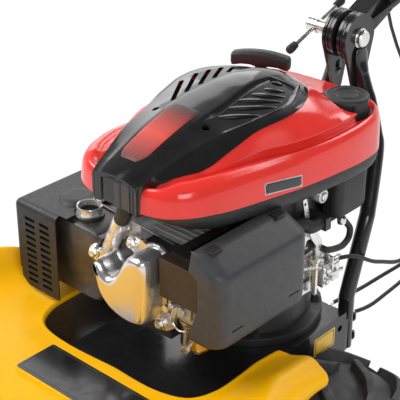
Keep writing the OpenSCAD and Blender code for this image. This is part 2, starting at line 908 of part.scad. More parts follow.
module gearbox_pulley() {
    color([0.5, 0.5, 0.52])
        translate([0, fy - gear_y, 0]) {
            translate([0, 0, z_db])
                vee(pulley_gear_r, 8.9);
            translate([0, 0, tyre_r + 36])
                cylinder(r = 9, h = z_db + 9 - tyre_r - 36);
        }
}

// Belt loop round two pulleys of running radius ra at y = 0 and rb at y = -d
module belt_shape(ra, rb, d) {
    a = asin((rb - ra) / d);
    polygon(concat([for (i = [0:24]) let (q = a + i * (180 - 2 * a) / 24) [ra * cos(q), ra * sin(q)]],
        [for (i = [0:24]) let (q = 180 - a + i * (180 + 2 * a) / 24) [rb * cos(q), -d + rb * sin(q)]]));
}

module belt(ra, rb, d, z) {
    translate([0, fy, z - belt_w / 2 + 0.8])
        linear_extrude(belt_w - 1.6)
            difference() {
                belt_shape(ra + 4, rb + 4, d);
                belt_shape(ra + 0.4, rb + 0.4, d);
            }
}

module blade_belt() {
    color([0.08, 0.08, 0.08])
        belt(pulley_blade_r, pulley_spindle_r, spindle_y, z_bb);
}

module drive_belt() {
    color([0.08, 0.08, 0.08])
        belt(pulley_drive_r, pulley_gear_r, gear_y, z_db);
}

// Idler arm from a pin to a stub axle, bored for the pin
module idler_arm(len, up) {
    difference() {
        union() {
            cylinder(r = 11, h = 8);
            block([0, -7, 0], [len, 7, 6]);
            translate([len, 0, 0])
                cylinder(r = 9, h = 6);
            translate([len, 0, 5.5])
                cylinder(r = 5, h = up);
        }
        translate([0, 0, -1])
            cylinder(r = 6 + run_gap, h = 20);
    }
}

module idler_wheel(r) {
    ring_cut(-7, 14, r, 5 + run_gap);
}

// The blade idler swings inside the long belt loop
blade_arm = 64;
blade_arm_turn = -75;
blade_idler_r = 18;
module blade_idler_arm() {
    color([0.55, 0.55, 0.57])
        translate([idler_pin[0], idler_pin[1] + fy, z_bb - 21])
            rotate(blade_arm_turn)
                idler_arm(blade_arm, 24);
}

module blade_idler_pulley() {
    color([0.25, 0.25, 0.26])
        translate([idler_pin[0], idler_pin[1] + fy, z_bb])
            rotate(blade_arm_turn)
                translate([blade_arm, 0, 0])
                    idler_wheel(blade_idler_r);
}

// The drive idler swings outside the short belt loop
drive_arm = 62;
drive_idler_r = 12;
drive_arm_turn = -102;
module drive_idler_arm() {
    color([0.55, 0.55, 0.57])
        translate([drive_pin[0], drive_pin[1] + fy, z_db - 19])
            rotate(drive_arm_turn)
                idler_arm(drive_arm, 22);
}

module drive_idler_pulley() {
    color([0.25, 0.25, 0.26])
        translate([drive_pin[0], drive_pin[1] + fy, z_db])
            rotate(drive_arm_turn)
                translate([drive_arm, 0, 0])
                    idler_wheel(drive_idler_r);
}

module axle() {
    color([0.6, 0.6, 0.62])
        along_x(-wheel_x - 42, fy - axle_y, tyre_r)
            cylinder(r = axle_r, h = 2 * wheel_x + 84);
}

rim_r = 78;
module rim() {
    difference() {
        union() {
            rotate_extrude()
                polygon([[rim_r - 6, -38], [rim_r + 6, -40], [rim_r + 6, -36], [rim_r, -34], [rim_r, -24],
                    [rim_r - 8, -14], [rim_r - 8, 14], [rim_r, 24], [rim_r, 34], [rim_r + 6, 36],
                    [rim_r + 6, 40], [rim_r - 6, 38], [rim_r - 12, 14], [rim_r - 12, 3], [20, 3], [20, 34],
                    [axle_r, 34], [axle_r, -34], [20, -34], [20, -3], [rim_r - 12, -3], [rim_r - 12, -14]]);
        }
        for (a = [0:72:288])
            rotate(a)
                translate([44, 0, -5])
                    cylinder(r = 9, h = 10);
    }
}

module wheel_at(s) {
    along_x(s * wheel_x, fy - axle_y, tyre_r)
        children();
}

module left_rim() {
    color([0.9, 0.68, 0.05])
        wheel_at(1)
            rim();
}

module right_rim() {
    color([0.9, 0.68, 0.05])
        wheel_at(-1)
            rim();
}

// Tyre carcass with two rows of slanted lugs
module tyre() {
    w = tyre_w / 2;
    r = tyre_r - 12;
    rotate_extrude($fn = 72)
        polygon([[rim_r, -33], [rim_r + 7, -35.5], [rim_r + 7, -41], [rim_r + 20, -w + 3], [r - 35, -w],
            [r - 12, -w + 5], [r - 3, -w + 18], [r, -12], [r, 12], [r - 3, w - 18], [r - 12, w - 5],
            [r - 35, w], [rim_r + 20, w - 3], [rim_r + 7, 41], [rim_r + 7, 35.5], [rim_r, 33]]);
    for (i = [0:13], s = [-1, 1])
        rotate(i * 360 / 14 + (s > 0 ? 180 / 14 : 0))
            translate([0, 0, s * 1])
                rotate([s * 35, 0, 0])
                    block([r - 16, -9, s > 0 ? 0 : -w - 3], [tyre_r, 9, s > 0 ? w + 3 : 0]);
}

module left_tyre() {
    color([0.07, 0.07, 0.07])
        wheel_at(1)
            tyre();
}

module right_tyre() {
    color([0.07, 0.07, 0.07])
        wheel_at(-1)
            tyre();
}

fork_x = 14;
fork_t = 4;
disc_r = 30;
// The tubes rise from the plate's end and run in under the joint
tube_path = [[90, 84, pz - 60], [90, 84, pz + 10], [87, 117, pz + 100], [62, joint_y - 13, joint_z - 135],
    [34, joint_y + 5, joint_z - 82], [21, joint_y + 3, joint_z - 48]];

module fork_plate() {
    difference() {
        hull() {
            translate([joint_y, joint_z])
                circle(r = disc_r, $fn = 32);
            translate([joint_y + 3, joint_z - 70])
                circle(r = 9, $fn = 32);
        }
        translate([joint_y, joint_z])
            circle(r = clamp_r + run_gap);
    }
}

module handle_half() {
    difference() {
        pipe(tube_path, tube_r);
        block([-50, 100, joint_z - 74], [fork_x, 260, joint_z - 10]);
    }
    side_plate(fork_x, fork_t)
        fork_plate();
}

module handle_frame() {
    color([0.06, 0.06, 0.06])
        translate([0, fy, 0]) {
            handle_half();
            mirror([1, 0, 0])
                handle_half();
            block([-hw, chassis_rear, pz - 62], [hw, chassis_rear + 5, pz - 8]);
        }
}

module clamp_bolt() {
    color([0.8, 0.8, 0.82])
        translate([0, fy, 0]) {
            along_x(fork_x + fork_t, joint_y, joint_z)
                cylinder(r = 10.5, h = 5);
            along_x(-44, joint_y, joint_z)
                cylinder(r = clamp_r, h = fork_x + fork_t + 44.5);
        }
}

nut_x = -fork_x - fork_t - 0.3;
bar_x = -50;
rod_tilt = 20;
module clamp_nut() {
    color([0.8, 0.8, 0.82])
        translate([0, fy, 0])
            difference() {
                along_x(nut_x - 42, joint_y, joint_z)
                    cylinder(r = 10, h = 42);
                along_x(-45, joint_y, joint_z)
                    cylinder(r = clamp_r + run_gap, h = 60);
                translate([bar_x, joint_y, joint_z])
                    rotate([90 + rod_tilt, 0, 0])
                        translate([0, 0, -50])
                            cylinder(r = 3, h = 100);
            }
}

module cross_bar() {
    color([0.78, 0.78, 0.8])
        translate([bar_x, joint_y + fy, joint_z])
            rotate([90 + rod_tilt, 0, 0]) {
                translate([0, 0, -50])
                    cylinder(r = 3, h = 100);
                for (z = [-50, 50])
                    translate([0, 0, z - 8])
                        cylinder(r = 5.5, h = 16);
            }
}

// Places children in the handlebar's sloped frame: +Y along the bar
module on_bar() {
    translate([0, joint_y + fy, joint_z])
        rotate([bar_slope, 0, 0])
            children();
}

hub_x = fork_x - 0.4;
lever_y = bar_len - 175;
seat_r = bar_r - 0.1;
// One side of the bar, s = 1 on the left
module bar_half(s) {
    x = s * grip_x;
    sweep([[s * 11, 66, 0], [s * 18, 100, 0], [s * 27, 118, 0], [x - s * 47, 321, 0], [x - s * 37, 335, 0],
        [x - s * 5, 391, 0], [x, 408, 0], [x, 430, 0]], bar_r - 0.1, 16, [0, 0, 1]);
    translate([x, 424, 0])
        rotate([-90, 0, 0])
            cylinder(r = bar_r, h = lever_y - 445);
    translate([x, lever_y - 30, 0])
        rotate([-90, 0, 0])
            cylinder(r = seat_r, h = bar_len - lever_y + 26);
    block([x - 7, lever_y - 16, -34], [x + 7, lever_y + 16, -6]);
    along_x(x - 18, lever_y, -26)
        cylinder(r = 4, h = 36);
}

module handlebar() {
    color([0.06, 0.06, 0.06])
        on_bar() {
            difference() {
                union() {
                    along_x(-hub_x, 0, 0)
                        cylinder(r = disc_r, h = 2 * hub_x);
                    block([-hub_x, 0, -16], [hub_x, 78, 16]);
                }
                along_x(-40, 0, 0)
                    cylinder(r = clamp_r + run_gap, h = 80);
                along_x(-3.5, 0, 0)
                    ring_cut(0, 7, 40, 18);
            }
            bar_half(1);
            bar_half(-1);
            block([-grip_x - 12, 428, 6], [-grip_x + 12, 462, 24]);
            along_x(-grip_x + 11.5, 445, 15)
                cylinder(r = 5, h = 16);
        }
}

module grips() {
    color([0.05, 0.05, 0.05])
        on_bar()
            for (s = [-1, 1])
                translate([s * grip_x, bar_len, 0])
                    rotate([90, 0, 0])
                        difference() {
                            cylinder(r = grip_r, h = 135);
                            translate([0, 0, 4])
                                cylinder(r = seat_r, h = 140);
                        }
}

// Clutch lever hung on the pin under the bar, hanging open
module lever_shape() {
    rotate([-16, 0, 0])
        difference() {
            union() {
                along_x(-17.5, 0, 0)
                    cylinder(r = 10, h = 10);
                block([-17.5, 0, -6], [-7.5, 46, 6]);
                rod([-12.5, 42, 0], [0, 62, -4], 6);
                rod([0, 62, -4], [0, 165, -4], 6);
                translate([0, 62, -4])
                    sphere(r = 6.25);
                translate([0, 165, -4])
                    sphere(r = 6.25);
            }
            along_x(-30, 0, 0)
                cylinder(r = 4 + run_gap, h = 60);
        }
}

module blade_lever() {
    color([0.75, 0.1, 0.08])
        on_bar()
            translate([grip_x, lever_y, -26])
                lever_shape();
}

module drive_lever() {
    color([0.08, 0.08, 0.08])
        on_bar()
            translate([-grip_x, lever_y, -26])
                mirror([1, 0, 0])
                    lever_shape();
}

module throttle_lever() {
    color([0.1, 0.1, 0.1])
        on_bar()
            translate([-grip_x, 445, 15])
                difference() {
                    union() {
                        along_x(12.5, 0, 0)
                            cylinder(r = 13, h = 8);
                        block([12.5, -5, 5], [20.5, 5, 48]);
                    }
                    along_x(10, 0, 0)
                        cylinder(r = 5 + run_gap, h = 20);
                }
}

// Control cables, each a hand-laid route with straight ends at its stops
function bar_pt(x, y, z) = [x, joint_y + y * cos(bar_slope) - z * sin(bar_slope),
    joint_z + y * sin(bar_slope) + z * cos(bar_slope)];
cable_y = chassis_rear + 5;
blade_route = [[60, cable_y + 25, pz - 17], [64, 180, pz - 20], [90, 300, pz + 10], [150, 420, pz + 130],
    [215, 520, pz + 320], bar_pt(grip_x - 10, lever_y - 120, -40), bar_pt(grip_x, lever_y - 50, -22)];
drive_route = [[76, cable_y + 25, pz - 30], [82, 170, pz - 36], [70, 300, pz - 14], [0, 410, pz + 80],
    [-150, 490, pz + 230], bar_pt(-grip_x + 10, lever_y - 120, -40), bar_pt(-grip_x, lever_y - 50, -22)];
throttle_route = [[98, 45, pz + 87], [108, 70, pz + 84], [110, 120, pz + 55], [104, 200, pz + 30],
    [70, 330, pz + 60], [-60, 430, pz + 170], bar_pt(-grip_x + 110, 300, 8), bar_pt(-grip_x + 42, 362, 34),
    bar_pt(-grip_x, 410, 17)];

module cable(a, p, b, r) {
    translate([0, fy, 0])
        sweep(concat([a], curve(p, 3), [b]), r, 8, [1, 0.1, 0]);
}

module blade_cable() {
    color([0.04, 0.04, 0.04])
        cable([60, cable_y, pz - 17], blade_route, bar_pt(grip_x, lever_y - 16, -22), 3);
}

module drive_cable() {
    color([0.04, 0.04, 0.04])
        cable([76, cable_y, pz - 30], drive_route, bar_pt(-grip_x, lever_y - 16, -22), 3);
}

module throttle_cable() {
    color([0.04, 0.04, 0.04])
        cable([98, 33, pz + 87], throttle_route, bar_pt(-grip_x, 428, 17), 3);
}

module recoil_handle() {
    color([0.06, 0.06, 0.06])
        translate([rope_at[0], rope_at[1] + fy, z_rim + 80.5])
            rotate([0, 0, 23]) {
                hull() {
                    for (x = [-28, 28])
                        translate([x, 0, 0])
                            sphere(r = 9, $fn = 24);
                }
                translate([0, 0, -13])
                    cylinder(r = 7, h = 10);
            }
}

chassis();
blade_housing();
hood();
nameplate();
skids();
spindle_housing();
gearbox();
crankcase();
cylinder_block();
cylinder_head();
valve_cover();
valve_cover_bolts();
spark_plug();
muffler();
muffler_guard();
carburettor();
air_box();
filter_element();
fuel_tank();
fuel_hose();
breather_hose();
control_bracket();
blower_base();
engine_cowl();
top_cover();
handle_frame();
clamp_bolt();
blade_belt();
drive_belt();
blade_cable();
drive_cable();
throttle_cable();
crankshaft();
flywheel();
engine_pulley();
blade_spindle();
spindle_pulley();
blade();
blade_bolt();
gearbox_pulley();
axle();
left_rim();
right_rim();
left_tyre();
right_tyre();
blade_idler_arm();
blade_idler_pulley();
drive_idler_arm();
drive_idler_pulley();
handlebar();
grips();
blade_lever();
drive_lever();
throttle_lever();
clamp_nut();
cross_bar();
fuel_cap();
filter_cover();
recoil_handle();
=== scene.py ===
import math

import bmesh
import bpy
import numpy as np
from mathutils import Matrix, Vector
from mathutils.geometry import tessellate_polygon


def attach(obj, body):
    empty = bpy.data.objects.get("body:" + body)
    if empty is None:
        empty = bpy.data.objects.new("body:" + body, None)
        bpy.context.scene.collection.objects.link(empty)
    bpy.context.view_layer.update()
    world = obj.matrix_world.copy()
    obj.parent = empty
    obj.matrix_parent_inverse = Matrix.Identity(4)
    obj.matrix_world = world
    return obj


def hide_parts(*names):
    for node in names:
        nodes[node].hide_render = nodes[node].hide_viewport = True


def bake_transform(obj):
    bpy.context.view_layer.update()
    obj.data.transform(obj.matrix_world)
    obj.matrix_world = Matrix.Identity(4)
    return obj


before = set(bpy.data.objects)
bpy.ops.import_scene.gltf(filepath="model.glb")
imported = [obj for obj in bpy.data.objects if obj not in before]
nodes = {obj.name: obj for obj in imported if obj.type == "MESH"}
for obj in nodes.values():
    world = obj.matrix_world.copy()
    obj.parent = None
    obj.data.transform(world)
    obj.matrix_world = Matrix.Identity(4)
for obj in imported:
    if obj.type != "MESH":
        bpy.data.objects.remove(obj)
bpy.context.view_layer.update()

# Lengths below are in millimetres with the crankshaft at x = y = 0, as in the part's source.
# FY moves them into the frame; PZ is the engine plate's top and ZR the cowl's rim.
MM = 0.001
FY = -14.0
PZ = 325.0
ZR = 535.0
CAP_X, CAP_Y = 66, 92
AXLE_Y, AXLE_Z = -60, 165
HINGE_Y, HINGE_Z = 181, 635
PULL_X, PULL_Y = -61, 87

# In the handlebar's own sloped frame
BAR_X = 255
BAR_SLOPE = math.radians(25)
LEVER_SLOPE = math.radians(-16)
PIVOT_Y, PIVOT_Z = 565, -26
THROTTLE_Y, THROTTLE_Z = 445, 15


# Small maths
def vec(*a):
    return np.array(a, float)


def lerp(a, b, t):
    return a + (b - a) * t


def smooth(a, b, x):
    t = min(max((x - a) / (b - a), 0.0), 1.0)
    return t * t * (3 - 2 * t)


def unit(v):
    v = np.asarray(v, float)
    return v / np.linalg.norm(v)


def curve(p, n):
    """Smooth curve through the points p, with n steps between each two."""
    p = [np.asarray(q, float) for q in p]
    out = []
    for i in range(len(p) - 1):
        a, b, c, d = p[max(i - 1, 0)], p[i], p[i + 1], p[min(i + 2, len(p) - 1)]
        for k in range(n):
            t = k / n
            out.append(0.5 * (2 * b + (c - a) * t + (2 * a - 5 * b + 4 * c - d) * t * t
                              + (3 * b - a - 3 * c + d) * t**3))
    return out + [p[-1]]


def arc(cx, cy, r, a, b, n):
    """Points on a circle from angle a to angle b, in degrees."""
    turns = [math.radians(lerp(a, b, i / n)) for i in range(n + 1)]
    return [(cx + r * math.cos(t), cy + r * math.sin(t)) for t in turns]


def rounded(p, r, n=5):
    """Closed outline with its corners rounded to about r."""
    out = []
    for i in range(len(p)):
        a, b, c = (np.array(p[k % len(p)], float) for k in (i - 1, i, i + 1))
        d1, d2 = np.linalg.norm(a - b), np.linalg.norm(c - b)
        s, e = b + (a - b) * min(r / d1, 0.49), b + (c - b) * min(r / d2, 0.49)
        for k in range(n + 1):
            t = k / n
            out.append(tuple((1 - t) ** 2 * s + 2 * t * (1 - t) * b + t * t * e))
    return out


def rect(x0, y0, x1, y1, r=0.0):
    q = [(x0, y0), (x1, y0), (x1, y1), (x0, y1)]
    return rounded(q, r) if r else q


def inward(p, d):
    """Closed outline moved inwards by d along its own normals."""
    p = np.array(p, float)
    a = np.roll(p, 1, 0) - p
    b = np.roll(p, -1, 0) - p
    a /= np.linalg.norm(a, axis=1)[:, None] + 1e-9
    b /= np.linalg.norm(b, axis=1)[:, None] + 1e-9
    t = b - a
    t /= np.linalg.norm(t, axis=1)[:, None] + 1e-9
    n = np.stack([-t[:, 1], t[:, 0]], 1)
    area = np.sum(p[:, 0] * np.roll(p[:, 1], -1) - np.roll(p[:, 0], -1) * p[:, 1])
    return p + n * d * (1 if area > 0 else -1)


def quads(n, m):
    """Faces of a grid of n by m cells."""
    return [(i * (m + 1) + j, i * (m + 1) + j + 1, (i + 1) * (m + 1) + j + 1, (i + 1) * (m + 1) + j)
            for i in range(n) for j in range(m)]


class Mesh:
    """Collects points and faces of one piece."""

    def __init__(self):
        self.v, self.f, self.m = [], [], []

    def add(self, verts, faces, mat=0):
        o = len(self.v)
        self.v += [tuple(float(c) for c in p) for p in verts]
        self.f += [tuple(i + o for i in f) for f in faces]
        self.m += [mat] * len(faces)
        return self

    def loft(self, secs, mat=0, closed=True, caps=True, ring=False):
        n, m = len(secs), len(secs[0])
        faces = []
        for i in range(n if ring else n - 1):
            for j in range(m if closed else m - 1):
                k, l = (i + 1) % n, (j + 1) % m
                faces.append((i * m + j, i * m + l, k * m + l, k * m + j))
        if caps and not ring:
            faces.append(tuple(range(m))[::-1])
            faces.append(tuple((n - 1) * m + j for j in range(m)))
        return self.add([p for q in secs for p in q], faces, mat)

    def lathe(self, prof, at=(0, 0, 0), axis=(0, 0, 1), n=40, mat=0, shape=None):
        """Profile of (distance along the axis, radius); shape(angle, h) scales the radius."""
        a = unit(axis)
        u = unit(np.cross(a, (0, 0, 1) if abs(a[2]) < 0.9 else (1, 0, 0)))
        w = np.cross(a, u)
        secs = []
        for h, r in prof:
            row = []
            for i in range(n):
                t = 2 * math.pi * i / n
                k = shape(t, h) if shape else 1.0
                row.append(np.asarray(at, float) + a * h + max(r, 0.02) * k * (math.cos(t) * u + math.sin(t) * w))
            secs.append(row)
        return self.loft(secs, mat)

    def tube(self, pts, r, n=12, mat=0):
        pts = [np.asarray(p, float) for p in pts]
        tan = [unit(pts[min(i + 1, len(pts) - 1)] - pts[max(i - 1, 0)]) for i in range(len(pts))]
        u = unit(np.cross(tan[0], (0.3, 0.2, 0.93) if abs(tan[0][2]) < 0.9 else (1, 0.1, 0)))
        secs = []
        for i, p in enumerate(pts):
            u = unit(u - tan[i] * np.dot(u, tan[i]))
            w = np.cross(tan[i], u)
            k = r[i] if isinstance(r, (list, tuple)) else r
            secs.append([p + k * (math.cos(2 * math.pi * j / n) * u + math.sin(2 * math.pi * j / n) * w)
                         for j in range(n)])
        return self.loft(secs, mat)

    def box(self, a, b, mat=0):
        (x, y, z), (X, Y, Z) = a, b
        q = [(x, y, z), (X, y, z), (X, Y, z), (x, Y, z), (x, y, Z), (X, y, Z), (X, Y, Z), (x, Y, Z)]
        return self.add(q, [(3, 2, 1, 0), (4, 5, 6, 7), (0, 1, 5, 4), (1, 2, 6, 5), (2, 3, 7, 6), (3, 0, 4, 7)],
                        mat)

    def plate(self, loops, lo, hi, plane, mat=0):
        """Flat plate with holes: loops of 2D points, first the outline. plane is xy, xz or yz."""
        to = {"xy": lambda p, h: (p[0], p[1], h), "xz": lambda p, h: (p[0], h, p[1]),
              "yz": lambda p, h: (h, p[0], p[1])}[plane]
        flat = [p for l in loops for p in l]
        n = len(flat)
        tris = tessellate_polygon([[Vector((p[0], p[1], 0)) for p in l] for l in loops])
        faces = [tuple(t) for t in tris] + [tuple(i + n for i in reversed(t)) for t in tris]
        o = 0
        for l in loops:
            for i in range(len(l)):
                j = (i + 1) % len(l)
                faces.append((o + i, o + j, o + j + n, o + i + n))
            o += len(l)
        return self.add([to(p, lo) for p in flat] + [to(p, hi) for p in flat], faces, mat)

    def hexbolt(self, at, axis, r, h, mat=0, washer=1.35):
        a = unit(axis)
        at = np.asarray(at, float)
        self.lathe([(0, r * washer), (h * 0.25, r * washer), (h * 0.32, r * 1.05)], at, a, 24, mat)
        return self.lathe([(h * 0.2, r), (h * 0.85, r), (h, r * 0.82), (h * 0.97, r * 0.5), (h * 0.9, r * 0.45)],
                          at, a, 6, mat)


def make(name, b, mats, body="frame", rep=(), sharp=38, bevel=0.0, seg=2, sub=0, ride=True):
    """Object from a collected mesh, with the body it rides on and the nodes it stands for."""
    me = bpy.data.meshes.new(name)
    me.from_pydata([(x * MM, (y + FY) * MM, z * MM) for x, y, z in b.v], [], b.f)
    for m in mats if isinstance(mats, (list, tuple)) else [mats]:
        me.materials.append(m)
    me.polygons.foreach_set("material_index", b.m)
    bm = bmesh.new()
    bm.from_mesh(me)
    bmesh.ops.recalc_face_normals(bm, faces=bm.faces)
    bm.to_mesh(me)
    bm.free()
    me.shade_smooth()
    me.set_sharp_from_angle(angle=math.radians(sharp))
    o = bpy.data.objects.new(name, me)
    bpy.context.scene.collection.objects.link(o)
    if bevel:
        k = o.modifiers.new("bevel", "BEVEL")
        k.width = bevel * MM
        k.segments = seg
        k.limit_method = "ANGLE"
        k.angle_limit = math.radians(38)
        k.use_clamp_overlap = True
    if sub:
        k = o.modifiers.new("sub", "SUBSURF")
        k.levels = k.render_levels = sub
    if ride:
        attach(o, body)
    if rep:
        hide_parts(*([rep] if isinstance(rep, str) else rep))
    return o


def cut(o, b, mat=None, solver="EXACT"):
    """Cuts the closed shapes in b out of a piece, before it rides."""
    c = make(o.name + "_cut", b, [mat or o.data.materials[0]], ride=False)
    k = o.modifiers.new("cut", "BOOLEAN")
    k.operation = "DIFFERENCE"
    k.solver = solver
    k.object = c
    if mat:
        k.material_mode = "TRANSFER"
    bpy.context.view_layer.update()
    me = bpy.data.meshes.new_from_object(o.evaluated_get(bpy.context.evaluated_depsgraph_get()))
    o.modifiers.clear()
    old = o.data
    o.data = me
    me.name = o.name
    bpy.data.meshes.remove(old)
    bpy.data.objects.remove(c)


# Materials
def node(nt, kind, feeds=(), **values):
    """New shader node with its input values, and the sockets that feed its other inputs."""
    n = nt.nodes.new("ShaderNode" + kind)
    for key, value in values.items():
        n.inputs[key.replace("_", " ")].default_value = value
    for key, socket in feeds:
        nt.links.new(socket, n.inputs[key])
    return n


def material(name, col, rough=0.4, metal=0.0, coat=0.0, var=0.12, vs=70.0, rv=0.06, bump=0.0, bs=900.0, col2=None,
             spec=0.5):
    """Finish with a colour mottle of strength var and scale vs, a roughness spread over rv either way, and a
    surface grain of strength bump and scale bs."""
    m = bpy.data.materials.new(name)
    m.use_nodes = True
    nt = m.node_tree
    p = nt.nodes["Principled BSDF"]
    for key, value in (("Metallic", metal), ("Coat Weight", coat), ("Coat Roughness", 0.05),
                       ("Specular IOR Level", spec)):
        p.inputs[key].default_value = value
    place = node(nt, "TexCoord").outputs["Object"]

    def noise(scale, detail=5.0, dist=0.0):
        return node(nt, "TexNoise", [("Vector", place)], Scale=scale, Detail=detail,
                    Distortion=dist).outputs["Fac"]

    ramp = node(nt, "ValToRGB", [("Fac", noise(vs))])
    dim, pale = ramp.color_ramp.elements
    dim.position, pale.position = 0.3, 0.7
    dim.color = (*[c * (1 - var) for c in col], 1)
    pale.color = (*(col2 or [min(c * (1 + var) + 0.003 * var, 1.0) for c in col]), 1)
    nt.links.new(ramp.outputs["Color"], p.inputs["Base Color"])
    spread = node(nt, "MapRange", [("Value", noise(vs * 2.3, 6.0, 0.4))], From_Min=0.3, From_Max=0.7,
                  To_Min=max(rough - rv, 0.02), To_Max=rough + rv)
    nt.links.new(spread.outputs["Result"], p.inputs["Roughness"])
    if bump:
        grain = node(nt, "Bump", [("Height", noise(bs, 3.0))], Strength=bump, Distance=0.0006)
        nt.links.new(grain.outputs["Normal"], p.inputs["Normal"])
    return m


RED = material("cowl_red", (0.74, 0.03, 0.022), 0.2, coat=0.2, var=0.05, vs=30, rv=0.03, bump=0.03, bs=500)
YELLOW = material("hood_yellow", (0.90, 0.45, 0.001), 0.36, var=0.04, vs=25, bump=0.06, bs=1400, spec=0.15)
GLOSS = material("black_steel", (0.011, 0.011, 0.012), 0.2, coat=0.2, var=0.25, vs=40, rv=0.05, bump=0.05, bs=700)
PLATE = material("plate_black", (0.010, 0.010, 0.011), 0.18, coat=0.1, var=0.25, vs=60, rv=0.05)
COVER = material("cover_black", (0.009, 0.009, 0.009), 0.11, var=0.2, vs=50, rv=0.03, bump=0.02, bs=600)
# Lighter black on the nose ribs paints their grey reflection; their rougher finish is their own
RIB_SHEEN = material("rib_black_painted_sheen", (0.034, 0.033, 0.033), 0.26, var=0.15, vs=60, rv=0.05, bump=0.05, bs=800)
MATTE = material("matte_black", (0.016, 0.016, 0.017), 0.5, var=0.25, vs=120, rv=0.08, bump=0.22, bs=1700)
GREY = material("filter_grey", (0.040, 0.041, 0.044), 0.46, var=0.12, vs=90, rv=0.06, bump=0.3, bs=1500)
BROWN = material("air_box_brown", (0.030, 0.020, 0.016), 0.42, var=0.2, vs=80, rv=0.07, bump=0.15, bs=1300)
CAST = material("cast_aluminium", (0.58, 0.59, 0.61), 0.42, metal=0.85, var=0.12, vs=60, rv=0.1, bump=0.35,
                bs=1100)
SATIN = material("satin_aluminium", (0.74, 0.74, 0.75), 0.24, metal=0.9, var=0.03, vs=22, rv=0.03, bump=0.02,
                 bs=1500)
BOOT = material("plated_steel", (0.76, 0.76, 0.77), 0.24, metal=0.6, var=0.08, vs=60, rv=0.08, bump=0.05, bs=500)
FIN = material("cast_fin", (0.62, 0.61, 0.61), 0.38, metal=0.35, var=0.15, vs=80, rv=0.08, bump=0.2, bs=1100)
# Pale strips on the fins' top edges: a painted highlight
FIN_HIGHLIGHT = material("painted_fin_highlight", (0.9, 0.87, 0.86), 0.35, var=0.08, vs=120, rv=0.08)
PAINT = material("black_casting", (0.020, 0.019, 0.019), 0.38, var=0.25, vs=60, rv=0.08, bump=0.25, bs=900)
ZINC = material("bright_steel", (0.78, 0.78, 0.76), 0.28, metal=1.0, var=0.08, vs=90, rv=0.08, bump=0.06, bs=900)
STEEL = material("steel", (0.55, 0.55, 0.56), 0.34, metal=1.0, var=0.12, vs=80, rv=0.1, bump=0.1, bs=900)
DARK = material("dark_steel", (0.11, 0.105, 0.10), 0.42, metal=0.8, var=0.25, vs=60, rv=0.1, bump=0.2, bs=800)
IRON = material("cast_iron", (0.20, 0.20, 0.20), 0.55, metal=0.7, var=0.2, vs=70, rv=0.1, bump=0.45, bs=900)
RUBBER = material("black_rubber", (0.016, 0.016, 0.016), 0.55, var=0.25, vs=120, rv=0.08, bump=0.12, bs=1500)
TYRE = material("tyre_rubber", (0.040, 0.039, 0.040), 0.62, var=0.3, vs=45, rv=0.08, bump=0.3, bs=900)
RIM = material("rim_yellow", (0.80, 0.36, 0.006), 0.38, coat=0.15, var=0.06, vs=40, bump=0.06, bs=1200)
LEVER = material("lever_red", (0.55, 0.015, 0.012), 0.35, coat=0.2, var=0.08, vs=60, bump=0.05, bs=900)
FOAM = material("filter_foam", (0.55, 0.46, 0.28), 0.9, var=0.25, vs=900, bump=0.8, bs=1600)
GOLD = material("yellow_zinc", (0.80, 0.53, 0.19), 0.24, metal=1.0, var=0.2, vs=45, rv=0.07,
                col2=(0.86, 0.68, 0.42))
BELT = material("belt_rubber", (0.022, 0.022, 0.024), 0.7, var=0.2, vs=150, bump=0.25, bs=1500)
# Black that paints shade: slot walls, gaps under louvre lips, the outlet's inside and sheets behind slots
SHADE_BLACK = material("painted_shade_black", (0.003, 0.003, 0.003), 0.7, var=0.2, spec=0.2)
STICKER = material("yellow_sticker", (0.88, 0.52, 0.01), 0.35, coat=0.3, var=0.04, vs=60)
SILVER = material("silver_ink", (0.62, 0.63, 0.65), 0.35, metal=0.6, var=0.06, vs=200)
LABEL = material("label_black", (0.012, 0.012, 0.013), 0.3, coat=0.4, var=0.2, vs=90)


def gradient(name, lo, hi, end, y0, y1, rough):
    """Finish whose colour runs along the length of the machine between two places."""
    m = material(name, hi, rough, coat=0.05, var=0.05)
    nt = m.node_tree
    place = next(n for n in nt.nodes if n.type == "TEX_COORD").outputs["Object"]
    xyz = node(nt, "SeparateXYZ", [("Vector", place)])
    mottle = node(nt, "TexNoise", [("Vector", place)], Scale=420.0)
    at = node(nt, "Math", [(0, mottle.outputs["Fac"]), (2, xyz.outputs["Y"])])
    at.operation = "MULTIPLY_ADD"
    at.inputs[1].default_value = 0.012
    run = node(nt, "MapRange", [("Value", at.outputs[0])], From_Min=(y0 + FY) * MM, From_Max=(y1 + FY) * MM)
    ramp = node(nt, "ValToRGB", [("Fac", run.outputs["Result"])])
    stops = ramp.color_ramp.elements
    stops[0].color, stops[1].color = (*lo, 1), (*end, 1)
    stops.new(0.5).color = (*hi, 1)
    nt.links.new(ramp.outputs["Color"], nt.nodes["Principled BSDF"].inputs["Base Color"])
    return m


BADGE = gradient("badge_red", (0.012, 0.006, 0.006), (0.62, 0.05, 0.03), (0.02, 0.006, 0.006), -200, -106, 0.5)

# Camera at the photograph's angle
cam_data = bpy.data.cameras.new("camera")
cam = bpy.data.objects.new("camera", cam_data)
bpy.context.scene.collection.objects.link(cam)
cam_data.lens = 111.6
cam_data.sensor_width = 36.0
az, el = math.radians(42.5), math.radians(28.0)
aim, distance = Vector((-0.082, -0.014, 0.445)), 1.55
look = Vector((math.sin(az) * math.cos(el), -math.cos(az) * math.cos(el), math.sin(el)))
cam.location = aim + distance * look
cam.rotation_euler = look.to_track_quat("Z", "Y").to_euler()
cam_data.clip_end = 50.0
bpy.context.scene.camera = cam


# Control cables: run from the chassis to the bar, riding no body
def bar_pt(x, y, z):
    """Place in the bar's own sloped frame."""
    c, s = math.cos(BAR_SLOPE), math.sin(BAR_SLOPE)
    return (x, HINGE_Y + y * c - z * s, HINGE_Z + y * s + z * c)


